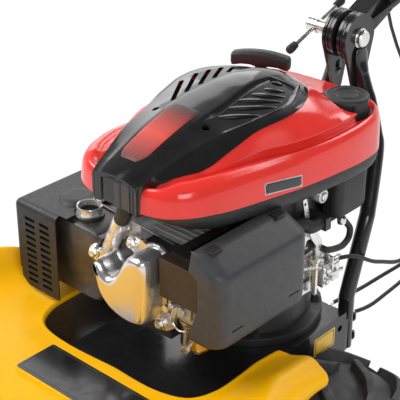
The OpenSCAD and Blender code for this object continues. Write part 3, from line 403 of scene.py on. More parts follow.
ROUTES = {
    "blade": [(60, 75, PZ - 17), (60, 100, PZ - 17), (64, 180, PZ - 20), (90, 300, PZ + 10), (150, 420, PZ + 130),
              (215, 520, PZ + 320), bar_pt(245, 445, -40), bar_pt(BAR_X, 515, -22), bar_pt(BAR_X, 549, -22)],
    "drive": [(76, 75, PZ - 30), (76, 100, PZ - 30), (82, 170, PZ - 36), (70, 300, PZ - 14), (0, 410, PZ + 80),
              (-150, 490, PZ + 230), bar_pt(-245, 445, -40), bar_pt(-BAR_X, 515, -22), bar_pt(-BAR_X, 549, -22)],
    "throttle": [(98, 33, PZ + 87), (98, 45, PZ + 87), (108, 70, PZ + 84), (110, 120, PZ + 55),
                 (104, 200, PZ + 30),
                 (70, 330, PZ + 60), (-60, 430, PZ + 170), bar_pt(-145, 300, 8), bar_pt(-213, 362, 34),
                 bar_pt(-BAR_X, 410, 17), bar_pt(-BAR_X, 428, 17)],
}
for key, route in ROUTES.items():
    path = curve(route, 8)
    b = Mesh().tube(path, 2.6, 10)
    for k, near in ((0, 1), (-1, -2)):
        d = unit(path[near] - path[k])
        b.lathe([(0, 3.6), (1, 4.2), (16, 4.2), (18, 3.4), (22, 2.8)], path[k], d, 14, 1)
    o = make(key + "_cable_tube", b, [RUBBER, ZINC], rep=key + "_cable", ride=False)
    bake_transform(o)

# Hood: rolled rim, dished top and skirt through the same stations as the solid
RIMS = [(0, -230, 350), (55, -230, 350), (96, -217, 350), (113, -188, 352), (115, -150, 354), (114, -118, 355),
        (118, -84, 356)]
MIDS = [(0, -330, 344), (110, -315, 346), (160, -270, 352), (168, -215, 362), (164, -165, 369), (152, -120, 366),
        (142, -80, 358)]
TOPS = [(0, -778, 268), (202, -716, 272), (272, -560, 305), (278, -340, 350), (262, -200, 383), (208, -128, 372),
        (172, -76, 357)]
EDGES = [(0, -828, 150), (230, -764, 150), (314, -590, 150), (320, -340, 160), (302, -205, 300), (230, -130, 346),
         (186, -78, 337)]


def hood_right(p, k):
    """Station of line k for the wider right half of the hood."""
    x, y, z = p
    f = smooth(0, 115, x)
    return vec(-x - (45, 68, 14, 0)[k] * f, y, min(z, 346) if k == 1 else z - (9, 40, 0, 0)[k] * f)


def hood_sec(r, m, t, e):
    """Section from the rim over middle, top and edge, and back inside."""
    q = m - r
    q = unit(vec(q[0], q[1], 0))
    w = e - m
    w = unit(vec(w[0], w[1], 0))
    up = vec(0, 0, 1)
    s1, s2 = lerp(m, t, 0.35) + 6 * up, lerp(m, t, 0.7) + 8 * up
    b = lerp(t, e, 0.25) + 8 * w
    d = -3 * up
    return [r - 3 * q + 2 * d, r - 2.4 * q - 2.2 * up, r + up, r + 3.5 * q + up, r + 8 * q - up, m, s1, s2,
            lerp(s2, t, 0.85), lerp(t, b, 0.2), b, lerp(b, e, 0.5) + 3 * w, e, e - 3 * w, b - 3 * w + d, t + d - w,
            s2 + d, s1 + d, m + d, r + 6 * q + 2 * d]


# The left fender is cut back over the wheel
MIDS_L = MIDS[:3] + [(150, -212, 360), (146, -164, 366), (146, -120, 364)] + MIDS[6:]
TOPS_L = TOPS[:4] + [(186, -176, 371), (175, -120, 366)] + TOPS[6:]
EDGES_L = EDGES[:3] + [(313, -340, 162), (208, -182, 330), (188, -122, 337)] + EDGES[6:]
lines = [curve(l, 6) for l in (RIMS, MIDS_L, TOPS_L, EDGES_L)]
left = [hood_sec(*(l[i] for l in lines)) for i in range(len(lines[0]))]
lines = [curve(l, 6) for l in (RIMS, MIDS, TOPS, EDGES)]
right = [hood_sec(*(hood_right(l[i], k) for k, l in enumerate(lines))) for i in range(len(lines[0]))]
b = Mesh().loft(left[::-1] + right[1:])
make("hood_shell", b, YELLOW, rep="hood", sharp=60, sub=1)
b = Mesh()
b.loft([[(x, y, z) for x, y in rect(-86 - g, -302 - g, 86 + g, -246 + g, 6)]
        for z, g in ((334, 9), (342, 4), (347, 1.6), (349, 0.8), (349.5, -0.6))])
make("hood_pad", b, YELLOW, sharp=50)
b = Mesh()
b.plate([rect(-87, -302, 87, -246, 3)], 349.5, 350.6, "xy")
b.plate([rect(-84, -299, 84, -249, 2.4), rect(-83.4, -298.4, 83.4, -249.6, 2)[::-1]], 350.5, 350.8, "xy", 1)
make("blank_nameplate", b, [PLATE, GREY], rep="nameplate", bevel=0.3)

# Cowl: rim path with dome width and rise at each point
HALF = [(34.5, -219.5, 26, 0), (58, -213, 36, 0.5), (75, -202, 42, 1), (86, -186, 44, 2), (93, -166, 45, 4),
        (98, -145, 45, 9), (102.5, -104, 40, 27), (107, -45, 30, 37), (113, 20, 50, 40), (111, 75, 86, 28),
        (100, 116, 88, 19), (70, 143, 90, 15), (0, 152, 78, 14)]
half = curve(HALF, 8)
rim_path = half + [vec(-p[0], p[1], p[2], p[3]) for p in half[-2::-1]]
BAND = [(0, 0), (0.02, 6), (0.05, 16), (0.1, 26), (0.17, 34), (0.25, 38.5), (0.36, 42), (0.55, 45), (0.78, 47.2),
        (1, 48.3)]
zs, ds = [z for _, z in BAND], [d for d, _ in BAND]


def lift(y):
    """The cowl's lower edge rises towards the front."""
    return np.interp(y, [-219.5, -202, -186, -166, -145, -104, -45, 20, 75, 125],
                     [20.8, 22.6, 22, 20.6, 18.7, 14.8, 8.6, 7, 3.2, 0])


def raised(y):
    """Height of the band's crest above its level at the rear."""
    return np.interp(y, [-219.5, -202, -186, -166, -145, -104, -45], [0, 7, 8, 8.4, 8, 5.2, 0])


def inset(p, d):
    """Place d inside the rim, towards the middle line."""
    a = vec(p[0], p[1])
    return a + d * unit(vec(0, min(max(p[1], -150), 60)) - a)


def crest(y):
    """Distance of the band's crest inside the rim."""
    return 18 - 10 * smooth(-90, -5, y) - 10 * (1 - smooth(-220, -196, y))


def cowl_sec(p):
    """Section from the lower edge over band, crest and valley to the dome's top, and back inside."""
    c, h, r = crest(p[1]), p[3], raised(p[1])
    g = c + 10
    u = max(p[2], g + 2)
    if p[0] < 0:
        h += 12 * smooth(-205, -135, p[1]) * (1 - smooth(-130, -85, p[1]))
    h = max(h - 0.5 * r, 0.5)
    k = smooth(-150, -60, p[1])
    e = lift(p[1])
    rise = [e, e + 1.5, *np.linspace(e + 4, 34 + r, 4), 38.5 + r, 40.4 + r, 42 + r, 45 + r, 47.2 + r, 48.3 + r]
    o = [(c * np.interp(z - r, zs, ds), z) for z in rise]
    o += [(d, z + r) for d, z in ((c + 2, 48), (c + 5, 46.2), (c + 8, 45), (g, 45.3), (g + 0.6 * k, 46.5 + 2 * k),
                                  (g + 0.2, 46.5 + min(7 * k, 0.25 * h)),
                                  (g - 0.8 * k, 46.5 + min(8.5 * k, 0.3 * h)),
                                  (g - 0.3 * k, 46.5 + min(11 * k, 0.36 * h)), (lerp(g, u, 0.16), 46 + 0.47 * h),
                                  (lerp(g, u, 0.3), 46 + 0.62 * h), (lerp(g, u, 0.48), 46 + 0.77 * h),
                                  (lerp(g, u, 0.66), 46 + 0.88 * h), (lerp(g, u, 0.84), 46.5 + 0.95 * h),
                                  (u, 46.5 + h), (u + 3, 46.5 + h))]
    i = [(d + 2.4, z - 2.4) for d, z in o[:2:-1]] + [(o[2][0] + 2.6, o[2][1]), (o[0][0] + 2.6, e)]
    return [(*inset(p, d), ZR + z) for d, z in o + i]


b = Mesh().loft([cowl_sec(p) for p in rim_path])
cowl = make("cowl_shell", b, [RED], rep="engine_cowl", sharp=50, ride=False)
cut(cowl, Mesh().lathe([(11, 31.6), (60, 31.6), (64, 33.2), (110, 34)], (CAP_X, CAP_Y, ZR), n=72),
    solver="MANIFOLD")
cowl.data.shade_smooth()
cowl.data.set_sharp_from_angle(angle=math.radians(42))
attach(cowl, "frame")
b = Mesh()
b.lathe([(11, 23), (12, 23), (12.6, 25), (12.6, 31), (14, 33.4), (11, 33.4), (10, 30)], (CAP_X, CAP_Y, ZR), n=64)
b.lathe([(56, 10), (63, 10.2), (64.5, 9.2), (66.6, 8.4), (67.1, 7.2), (66.5, 4.2), (62, 3.6)],
        (PULL_X, PULL_Y, ZR), n=32)
make("cowl_recess_and_guide", b, RED)


# Black blower housing under the cowl: its wall draws in below and fades out at the front
def bowl_low(y):
    return ZR + lift(y) - np.interp(y, [-217, -210, -192, -165, -120], [1.5, 8, 16, 19.5, 20])


def bowl_sec(p):
    t, w = ZR + lift(p[1]), bowl_low(p[1])
    q = [(5.6, t + 1), (1.3, t + 0.7), (1.0, t - 0.3), (1.2, lerp(t, w, 0.35)), (2.2, lerp(t, w, 0.65)),
         (4.2, lerp(t, w, 0.87)), (7, w), (11, w + 0.3), (11, w + 1.2), (7, lerp(t, w, 0.7)),
         (5.6, lerp(t, w, 0.4))]
    return [(*inset(p, d), z) for d, z in q]


b = Mesh().loft([bowl_sec(p) for p in rim_path if p[1] > -217])
right = [tuple(inset(p, 9)) for p in half if -200 < p[1] < 24]
rear = [tuple(inset(p, 9)) for p in half if p[1] > 26]
o = len(b.v)
b.plate([[(22, -176), (22, -202), (34, -206)] + right + [(-x, y) for x, y in right[::-1]]
         + [(-52, -200), (-52, -176)]], 0.4, 3, "xy")
b.plate([[(-62, 26)] + [(-x, y) for x, y in rear] + [(0, 136), (-62, 136)]], 0.4, 3, "xy")
b.v[o:] = [(x, y, z + bowl_low(y)) for x, y, z in b.v[o:]]
make("blower_bowl", b, MATTE, rep="blower_base", sharp=45)

# Top cover as a fine shell over the same slices, with vents
CUTS = [(-222, 33, 20, 32, 50, 20, 53.5), (-216, 36, 20, 34.5, 52.8, 22, 56.2),
        (-207, 37.5, 20, 36.5, 56.8, 23, 60.2), (-204, 39, 46, 37, 58, 23, 61.5),
        (-180, 52, 51, 42.5, 68, 24, 71.5), (-160, 60, 53, 48, 75, 25, 79.5), (-140, 65, 60, 51, 79, 25, 86),
        (-120, 68, 68, 55.5, 82, 25, 92), (-80, 74, 82, 64.5, 87, 24, 98), (-40, 82, 87, 70, 90, 19, 103),
        (-15, 81, 89, 68, 91, 17, 104), (5, 74, 90, 59, 92, 17, 102), (25, 61, 89, 48, 91, 16, 98.5),
        (42, 46, 86, 36, 88, 14, 93), (56, 32, 80, 25, 83, 11, 87), (68, 20, 72, 15, 76, 7, 79),
        (76, 9, 66, 6, 69, 3, 71)]
CUT = np.array(CUTS, float)
grid_y = np.arange(-222, 76.1, 1.0)
slices = np.stack([np.interp(grid_y, CUT[:, 0], CUT[:, k]) for k in range(1, 7)], 1)
soft = slices.copy()
for k in range(6):
    pad = np.concatenate([2 * slices[0, k] - slices[8:0:-1, k], slices[:, k],
                          2 * slices[-1, k] - slices[-2:-10:-1, k]])
    soft[:, k] = np.convolve(pad, np.ones(17) / 17, "valid")
mix = np.clip((grid_y + 204) / 14, 0, 1)[:, None]
slices = slices * (1 - mix) + soft * mix


def slice_at(y):
    return [np.interp(y, grid_y, slices[:, k]) for k in range(6)]


LOUVRES = [((24, 2), (34, 14)), ((31, -18), (46, 2)), ((30, -39), (55, -6)), ((27, -61), (59, -18)),
           ((30, -79), (62, -32)), ((33, -99), (60, -58))]


def relief(x, y):
    """Sunk field behind the louvres: a groove along the crease, a flat floor and a round rear end."""
    if x < 12 or y < -125 or y > 40:
        return 0.0
    xe, ze, xr, zr, xc, zc = slice_at(y)
    ends = smooth(-122, -84, y) * (1 - smooth(16, 20, y + 0.022 * (x - 40) ** 2))
    floor = smooth(xc + 0.6, xc + 2.6, x) * (1 - smooth(xr - 5.5, xr - 2.2, x))
    groove = smooth(xc - 0.4, xc + 1.4, x) * (1 - smooth(xc + 3.6, xc + 6.6, x))
    lip = math.exp(-(((x - xr + 1.2) / 1.3) ** 2))
    return ends * (-2.4 * floor - 1.5 * groove) + 0.7 * lip * smooth(-125, -100, y) * (1 - smooth(20, 40, y))


def cover_half(y):
    xe, ze, xr, zr, xc, zc = slice_at(y)
    pts = [(xe - 1.2, ze - 2.6), (xe, ze - 1), (xe - 0.4, ze)]
    pts += [(lerp(xe, xr, t), lerp(ze, zr, t) + 0.5 * math.sin(math.pi * t)) for t in (0.2, 0.4, 0.6, 0.8)]
    pts += [(lerp(xr, xc, t), lerp(zr, zc, t) - 0.6 * math.sin(math.pi * t)) for t in np.linspace(0, 1, 40)[:-1]]
    pts += [(lerp(xc, 0, t), zc + 1.5 * (1 - (1 - t) ** 2)) for t in np.linspace(0, 1, 12)]
    return pts


rows = list(np.linspace(-222, -204, 10)) + list(np.linspace(-202, 76, 210))
secs = []
for y in rows:
    h = cover_half(y)
    o = [(x, y, ZR + z + relief(x, y)) for x, z in h] + [(-x, y, ZR + z) for x, z in h[-2::-1]]
    t = 2.6 if y > -206 else 12.0
    i = [(x * max(1 - t / max(abs(h[0][0]), 6), 0.2), y, max(z - 2.6, ZR + 21)) for x, _, z in o[::-1]]
    secs.append(o + i)
b = Mesh().loft(secs)
cover = make("vented_cover", b, [COVER, SHADE_BLACK], rep="top_cover", sharp=32, ride=False)
SLOTS = [((-65, -50), (-32, -99)), ((-66, -24), (-32, -77)), ((-61, -7), (-31, -55)), ((-55, 8), (-28, -35)),
         ((-45, 17), (-27, -12))]
b = Mesh()
for a, c in SLOTS:
    d = unit(vec(c[0] - a[0], c[1] - a[1]))
    w = math.degrees(math.atan2(d[1], d[0]))
    out = arc(c[0], c[1], 3, w - 90, w + 90, 8) + arc(a[0], a[1], 3, w + 90, w + 270, 8)
    b.plate([out], ZR + 70, ZR + 130, "xy")
for s in (-1, 1):
    b.lathe([(78, 4.2), (130, 4.2)], (s * 37, -121, ZR), n=24)
# The slot walls and screw holes take the black of painted shade
cut(cover, b, SHADE_BLACK)
cover.data.shade_smooth()
cover.data.set_sharp_from_angle(angle=math.radians(32))
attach(cover, "frame")

# Painted shade: a black sheet under the slots stands for the shade under the cover
b = Mesh()
for j in range(24):
    y = lerp(-110, 20, j / 24)
    e = lerp(-110, 20, (j + 1) / 24)
    xe, ze, xr, zr, xc, zc = slice_at(y)
    b.box((-xr + 3, y, ZR + zr - 9), (-xc + 2, e + 0.4, ZR + zr - 7))
make("slot_shade_sheet", b, SHADE_BLACK)

# Painted shade: a black sheet between the right wheel and the hood's opening stands for the shade in that gap
ARCH_GAP_SHEET = ((-104, 170.6), (-208, 170.6), (-208, 172.4), (-104, 172.4))
b = Mesh()
secs = []
for a in np.linspace(98, 152, 19):
    d = vec(0, math.cos(math.radians(a)), math.sin(math.radians(a)))
    secs.append([vec(x, AXLE_Y, AXLE_Z) + r * d for x, r in ARCH_GAP_SHEET])
b.loft(secs)
make("arch_gap_shade_sheet", b, MATTE, sharp=40)


def cover_top(x, y):
    """Height of the cover's plain top."""
    xe, ze, xr, zr, xc, zc = slice_at(y)
    a = abs(x)
    if a < xc:
        return ZR + zc + 1.5 * (1 - (a / xc) ** 2)
    t = (a - xc) / (xr - xc)
    return ZR + lerp(zc, zr, t) - 0.6 * math.sin(math.pi * t)


# Details on the cover: blank badge panel, nose ribs, louvres, sunk screws
b = Mesh()
nx, ny = 15, 31
top = []
for j in range(ny + 1):
    v = j / ny
    x0, x1 = lerp(-19.5, -21, v), lerp(15, 18.5, v)
    cx = 7.0 * max(0, 0.16 - v) ** 2 / 0.0256 + 2.0 * max(0, v - 0.93) / 0.07
    for k in range(nx + 1):
        u = k / nx
        x, y = lerp(x0 + cx, x1 - cx, u), lerp(-199, -108, v)
        e = min(u, 1 - u, v, 1 - v)
        top.append((x, y, cover_top(x, y) + (0.25 if e < 1e-6 else 0.8)))
b.add(top, quads(ny, nx))
make("blank_badge", b, BADGE, sharp=60)


def nose_rib(x):
    """Ribs and sunk panels across the nose of the cover."""
    ribs = ((-36, -30.6, 2.2), (-30.6, -21, 1.2), (-22.4, -20.8, 2.2), (0, 8.6, 3.0), (8.6, 20.4, 1.4),
            (20.4, 23, 2.6), (25.4, 27.6, 2.4), (30.4, 36, 2.4))
    return max(h * smooth(u - 0.5, u + 0.5, x) * (1 - smooth(v - 0.5, v + 0.5, x)) for u, v, h in ribs)


NOSE_X, NOSE_N = 33.2, 140
secs = []
for t in (0, 0.04, 0.5, 0.8, 0.88, 0.93, 0.97, 1):
    back = 2.6 * smooth(0.8, 1.0, t) ** 2
    row = []
    for x in np.linspace(-NOSE_X, NOSE_X, NOSE_N + 1):
        hi = 54.4 - 3.4 * max(0.0, (abs(x) - 20) / 12)
        row.append((x, -220.6 - nose_rib(x) + back, ZR + lerp(19.6, hi, t)))
    secs.append(row + [(x, -212, z) for x, _, z in row[::-1]])
b = Mesh().loft(secs)
# Rib faces take the lighter black of the painted reflection
for i in range(len(b.f) - 2):
    k = i % (2 * NOSE_N + 2)
    b.m[i] = 1 if k < NOSE_N and nose_rib(-NOSE_X + 2 * NOSE_X * (k + 0.5) / NOSE_N) > 0.3 else 0
make("nose_ribs", b, [COVER, RIB_SHEEN], sharp=30)
SLAT = ((3.4, -0.8), (3.5, 0.1), (3.3, 1.9), (2.6, 2.5), (1.2, 2.6), (-1.5, 1.9), (-4.4, 0.7), (-6.6, -0.3))
b = Mesh()
for a, c in LOUVRES:
    a, c = np.array(a, float), np.array(c, float)
    d = unit(c - a)
    nrm = vec(d[1], -d[0])
    secs = []
    for u in np.linspace(0, 1, 25):
        k = max(math.sin(math.pi * u), 0.0) ** 0.6
        row = []
        for off, h in SLAT:
            q = a + (c - a) * u + nrm * off * (0.25 + 0.75 * k)
            row.append((q[0], q[1], cover_top(q[0], q[1]) + relief(q[0], q[1]) + h * k - 0.25))
        secs.append(row)
    o = len(b.f)
    b.loft(secs, closed=False, caps=False)
    # The two faces under each slat's lip take the black of painted shade
    for i in range(len(secs) - 1):
        for j in (0, 1):
            b.m[o + i * (len(SLAT) - 1) + j] = 1
make("cover_louvres", b, [COVER, SHADE_BLACK], sharp=50)
b = Mesh()
for s in (-1, 1):
    b.hexbolt((s * 37, -121, ZR + 80), (0, 0, 1), 3.0, 3.2)
make("cover_screws", b, DARK, bevel=0.2)

# Blank label plate on the cowl band, and the lug with its bolt under the band
py, px = [p[1] for p in half], [p[0] for p in half]


def band_x(y, z):
    return np.interp(y, py, px) - crest(y) * np.interp(z - ZR - raised(y), zs, ds)


def band_patch(b, ya, yb, za, zb, height, proud, mat):
    """Patch on the +X band: za and zb are its lower edge at the two ends."""
    n, m = 16, 6
    q = []
    for i in range(n + 1):
        for j in range(m + 1):
            y = lerp(ya, yb, i / n)
            z = lerp(za, zb, i / n) + height * j / m
            e = min(i, n - i, j, m - j)
            q.append((band_x(y, z) + (0.1 if e == 0 else proud), y, z))
    b.add(q, quads(n, m), mat)


b = Mesh()
band_patch(b, -98, -40, 555, 546, 13.5, 0.45, 0)
band_patch(b, -97.6, -40.4, 555.4, 546.4, 12.7, 0.7, 1)
make("blank_band_label", b, [SILVER, LABEL], sharp=60)
b = Mesh()
b.lathe([(0, 8), (1, 8.6), (14, 8.6), (15, 7.8), (15, 5.4), (13, 4.8)], (88, 7, 513), (1, 0, 0), 28)
b.box((84, -2, 513), (100, 16, 521))
b.hexbolt((101, 7, 513), (1, 0, 0), 4.4, 3.4, 1, 1.05)
make("cowl_lug", b, [CAST, ZINC], bevel=0.8)

# Valve cover with its scoop, flange and lugs
outline = [(40, 158), (39.2, 140), (38, 115), (36.4, 98), (34, 91.5), (28, 88), (14, 85.6), (-5, 87.6), (-22, 95),
           (-34, 108), (-39.6, 124), (-41, 138), (-40, 145.6), (-37, 147.6), (-33, 144.6), (-27, 137), (-19, 133),
           (-11, 136.4), (-4, 146.6), (3, 158.6), (10, 168.4), (17, 173), (26, 175), (34, 174.4), (39, 169)]
dense = curve(outline + [outline[0]], 4)[:-1]
for _ in range(2):
    q = np.array(dense)
    dense = list(0.25 * np.roll(q, 1, 0) + 0.5 * q + 0.25 * np.roll(q, -1, 0))


def shrunk(p, d):
    """Outline moved inwards by d, less where it turns more tightly than that."""
    p = np.array(p, float)
    a, b = p - np.roll(p, 1, 0), np.roll(p, -1, 0) - p
    turn = np.arctan2(a[:, 0] * b[:, 1] - a[:, 1] * b[:, 0], (a * b).sum(1))
    area = np.sum(p[:, 0] * np.roll(p[:, 1], -1) - np.roll(p[:, 0], -1) * p[:, 1])
    turn *= 1 if area > 0 else -1
    size = 0.5 * (np.linalg.norm(a, axis=1) + np.linalg.norm(b, axis=1)) / np.maximum(turn, 1e-4)
    room = np.minimum(0.75 * size, 40.0)
    for _ in range(4):
        room = np.minimum(room, np.minimum(np.roll(room, 1), np.roll(room, -1)) + 1.2)
    e = np.minimum(d, room) if d > 0 else np.full(len(p), d)
    for _ in range(3):
        e = 0.25 * np.roll(e, 1) + 0.5 * e + 0.25 * np.roll(e, -1)
    return p + (inward(p, 1.0) - p) * e[:, None]


steps = [(-185, -3), (-188.2, -3), (-188.9, -2.4), (-189, 0), (-208, 0.2), (-213, 0.5), (-216.5, 1.2), (-219, 2.3),
         (-221, 3.9), (-222.2, 5.8), (-222.8, 7.6), (-222.9, 9)]
BOLTS = ((-72, 131), (32, 80), (-9, 167))
b = Mesh()
b.loft([[(p[0], y, PZ + p[1]) for p in shrunk(dense, d)] for y, d in steps])
for p in BOLTS:
    b.lathe([(0, 9), (3.4, 9), (4.2, 8.2)], (p[0], -185, PZ + p[1]), (0, -1, 0), 32)
for q in ([(-77, 122), (-40, 112), (-26, 120), (-26, 136), (-66, 137)],
          [(22, 84), (26, 74), (40, 73), (53, 82), (53, 93), (42, 101), (30, 98)],
          [(-16, 160), (-2, 152), (16, 170), (6, 176), (-10, 176)]):
    b.plate([[(x, PZ + z) for x, z in rounded(q, 4)]], -185, -189, "xz")
make("polished_valve_cover", b, SATIN, rep="valve_cover", sharp=30, bevel=0.5)
b = Mesh()
for p in BOLTS:
    b.hexbolt((p[0], -189, PZ + p[1]), (0, -1, 0), 5.6, 6)
b.hexbolt((-24, -181, PZ + 178), (-0.3, -1, 0), 4.6, 5)
make("valve_cover_hex_bolts", b, ZINC, rep="valve_cover_bolts", bevel=0.3)

# Cast boss on the head beside the plug, and pale strips on the fins' top edges that paint their highlight
b = Mesh()
b.plate([rounded([(-34, PZ + 160), (-6, PZ + 160), (-4, PZ + 186), (-14, PZ + 192), (-32, PZ + 190)], 4)], -181,
        -160, "xz")
for i in range(8):
    b.box((-50, -155 + 9 * i, PZ + 171.4), (44, -153 + 9 * i, PZ + 172.4), 1)
make("head_boss", b, [FIN, FIN_HIGHLIGHT], bevel=0.8, seg=3)

# Spark plug: metal shield, rubber cap and lead
pa, pb = vec(-60, -178, PZ + 131), vec(-14, -196, PZ + 204)
ax = pb - pa
L = np.linalg.norm(ax)
b = Mesh()
b.lathe([(-0.2 * L, 6), (-0.16 * L, 7), (0, 7), (0, 9.2), (2, 9.8), (L * 0.5, 9.8), (L * 0.52, 9.4),
         (L * 0.55, 9.4), (L * 0.57, 9.8), (L * 0.82, 9.8), (L * 0.86, 9)], pa, ax, 36)
b.lathe([(L * 0.84, 8.2), (L * 0.88, 9.2), (L * 0.98, 8.6), (L * 1.03, 8.6), (L * 1.04, 7.6), (L * 1.1, 7.2),
         (L * 1.12, 5)], pa, ax, 32, 1)
make("plug_boot", b, [BOOT, RUBBER], rep="spark_plug", sharp=35)
b = Mesh()
b.lathe([(L * 1.0, 8.4), (L * 1.06, 9.6), (L * 1.14, 9.2), (L * 1.2, 6.6), (L * 1.22, 2)], pa, ax, 28)
b.tube(curve([pa + 1.12 * ax, pa + 1.2 * ax + vec(2, 2, 0), (4, -182, PZ + 208), (16, -160, PZ + 200),
              (20, -140, PZ + 192)], 8), 3.4, 10)
make("plug_lead", b, RUBBER)


# Muffler with seam and outlet, and its slotted guard
def rr(x0, x1, z0, z1, r, y):
    return [(x, y, PZ + z) for x, z in rect(x0, z0, x1, z1, r)]


SHELL = ((-62, 5), (-63, 2), (-66, 0.4), (-70, 0), (-110, 0), (-111, -2.4), (-116, -2.4), (-117, 0), (-158, 0),
         (-162, 0.4), (-165, 2), (-166, 5))
b = Mesh()
b.loft([rr(-216 + d, -82 - d, 40 + d, 136 - d, 24, y) for y, d in SHELL])
INLET, OUTLET = (-84, -160, PZ + 88), (-132, -140, PZ)
b.lathe([(0, 13), (34, 13), (34, 10)], INLET, (1, 0, 0), 32)
b.lathe([(-2, 20), (2, 20), (3, 16)], INLET, (1, 0, 0), 32)
b.lathe([(134, 18), (140, 18), (140.8, 17), (141, 14)], OUTLET, n=40)
b.lathe([(139, 16.6), (142, 15.6), (148, 15.4), (150, 15.8), (151, 15.2), (150.4, 14), (147, 13.6), (142, 13.4)],
        OUTLET, n=40, mat=1)
# The disc deep in the outlet is black painted shade
b.lathe([(141, 14), (143, 13.6), (143.2, 1)], OUTLET, n=40, mat=2)
make("muffler_shell", b, [DARK, BOOT, SHADE_BLACK], rep="muffler", sharp=40)
b = Mesh()
face = rounded([(-218, 36), (-206, 26), (-150, 26), (-150, 134), (-218, 134)], 2)
holes = [rect(-206 + 26 * c, 34 + 8.6 * i, -188 + 26 * c, 38.6 + 8.6 * i, 2.2)[::-1] for i in range(11)
         for c in (0, 1)]
b.plate([[(x, z + PZ) for x, z in l] for l in [face] + holes], -180, -178.5, "xz")
side = rounded([(-172, 60), (-50, 60), (-50, 134), (-172, 134)], 2)
holes = [rect(-150 + 34 * c, 74 + 8.6 * i, -126 + 34 * c, 78.6 + 8.6 * i, 1.6)[::-1] for i in range(6)
         for c in (0, 1)]
b.plate([[(y, z + PZ) for y, z in l] for l in [side] + holes], -226, -224.5, "yz")
roof = [(-218, -172), (-138, -172)] + arc(-131, -139, 20, 250, 110, 14) + [(-138, -50), (-218, -50)]
b.plate([roof], PZ + 140.5, PZ + 142, "xy")


def bend(p, q, u, v, n=7):
    """Rounded edge of radius 8 between two walls: from p to q, with outward directions u and v."""
    secs = []
    for c in (p, q):
        c = np.asarray(c, float)
        outer = [c + 8 * (math.cos(t) * vec(*u) + math.sin(t) * vec(*v)) for t in np.linspace(0, math.pi / 2, n)]
        inner = [c + 6.5 * (math.cos(t) * vec(*u) + math.sin(t) * vec(*v)) for t in np.linspace(math.pi / 2, 0, n)]
        secs.append(outer + inner)
    b.loft(secs)


UP = (0, 0, 1)
bend((-218, -172, PZ + 134), (-218, -50, PZ + 134), (-1, 0, 0), UP)
bend((-218, -172, PZ + 134), (-150, -172, PZ + 134), (0, -1, 0), UP)
bend((-218, -172, PZ + 48), (-218, -172, PZ + 134), (-1, 0, 0), (0, -1, 0))
ball = []
for t in np.linspace(0, math.pi / 2, 7):
    ball.append([(-218 - 8 * math.cos(t) * math.cos(f), -172 - 8 * math.cos(t) * math.sin(f),
                  PZ + 134 + 8 * math.sin(t)) for f in np.linspace(0, math.pi / 2, 7)])
b.loft(ball, closed=False, caps=False)
b.lathe([(0, 2.4), (0.8, 2.0)], (-226, -62, PZ + 100), (-1, 0, 0), 12)
b.lathe([(140, 27), (141.8, 26), (143.4, 24), (145.2, 20.6), (146.2, 18), (146.4, 12), (146.4, 1)],
        (-166, -125, PZ), n=44)
for zz in (70, 100):
    b.lathe([(0, 5), (9, 5)], (-225, -110, PZ + zz), (1, 0, 0), 20)
make("muffler_heat_guard", b, MATTE, rep="muffler_guard", bevel=0.4)
b = Mesh()
for x, y in ((-208, -62), (-150, -62)):
    b.hexbolt((x, y, PZ + 142), (0, 0, 1), 4, 4)
make("guard_screws", b, DARK, bevel=0.25)

# Painted shade: black sheets behind the guard's slots stand for the shade inside the guard
b = Mesh()
b.plate([[(x, z + PZ) for x, z in rounded([(-219, 40), (-206, 30), (-154, 30), (-154, 133), (-219, 133)], 2)]],
        -177.6, -176.8, "xz")
b.plate([[(y, z + PZ) for y, z in rounded([(-170, 64), (-54, 64), (-54, 133), (-170, 133)], 2)]], -223.6, -222.8,
        "yz")
make("guard_slot_shade_sheet", b, SHADE_BLACK)

# Carburettor: body, throat, gold bowl, screws, levers
BOWL = (72, -172, PZ)
b = Mesh()
b.box((44, -186, PZ + 92), (52, -154, PZ + 131))
b.box((56, -192, PZ + 101), (88, -152, PZ + 130))
b.box((60, -196, PZ + 108), (84, -150, PZ + 126))
b.lathe([(0, 20), (5, 20), (6, 17), (38, 17), (41, 16)], (51, -172, PZ + 112), (1, 0, 0), 36)
b.lathe([(0, 6), (9, 6), (10, 5)], (72, -190, PZ + 116), (0, -1, 0), 24)
b.lathe([(0, 4), (14, 4), (15, 3)], (62, -190, PZ + 122), (0, -1, 0), 20)
for y in (-160, -184):
    b.hexbolt((52, y, PZ + 98 + (y + 184) * 1.1), (1, 0, 0), 4, 5, 2)
b.lathe([(58, 7), (58.6, 13), (61, 17), (66, 19), (92, 19), (94, 20.4), (98, 20.4), (99, 18), (101.5, 18)], BOWL,
        n=44, mat=1)
b.lathe([(51, 5.5), (52, 6.4), (57, 6.4), (58.5, 8.5), (60, 8.5)], BOWL, n=6, mat=1)
b.lathe([(0, 3), (10, 3), (10, 5), (15, 5)], (78, -190, PZ + 74), (0.3, -1, 0), 6, 2)
b.lathe([(124, 3), (139, 3), (140, 2)], (80, -186, PZ), n=16, mat=2)
b.tube(curve([(84, -190, PZ + 128), (92, -186, PZ + 134), (93, -160, PZ + 128), (92, -150, PZ + 112)], 6), 1.3, 8,
       2)
make("carburettor_body", b, [CAST, GOLD, ZINC], rep="carburettor", bevel=1.0, sharp=35)
b = Mesh()
b.box((50, -195, PZ + 110), (58, -187, PZ + 123))
b.box((53, -198, PZ + 100), (60, -190, PZ + 107))
b.lathe([(0, 3), (8, 3), (8, 4.4), (11, 4.4)], (54, -194, PZ + 116), (0, -1, 0), 16)
b.tube(curve([(56, -197, PZ + 104), (62, -201, PZ + 100), (68, -199, PZ + 92), (74, -193, PZ + 90)], 6), 1.2, 8)
b.plate([[(x, PZ + z) for x, z in rounded([(52, 92), (58, 92), (66, 120), (60, 124)], 2)]], -197, -195.4, "xz")
make("carburettor_links", b, ZINC, bevel=0.6, sharp=40)

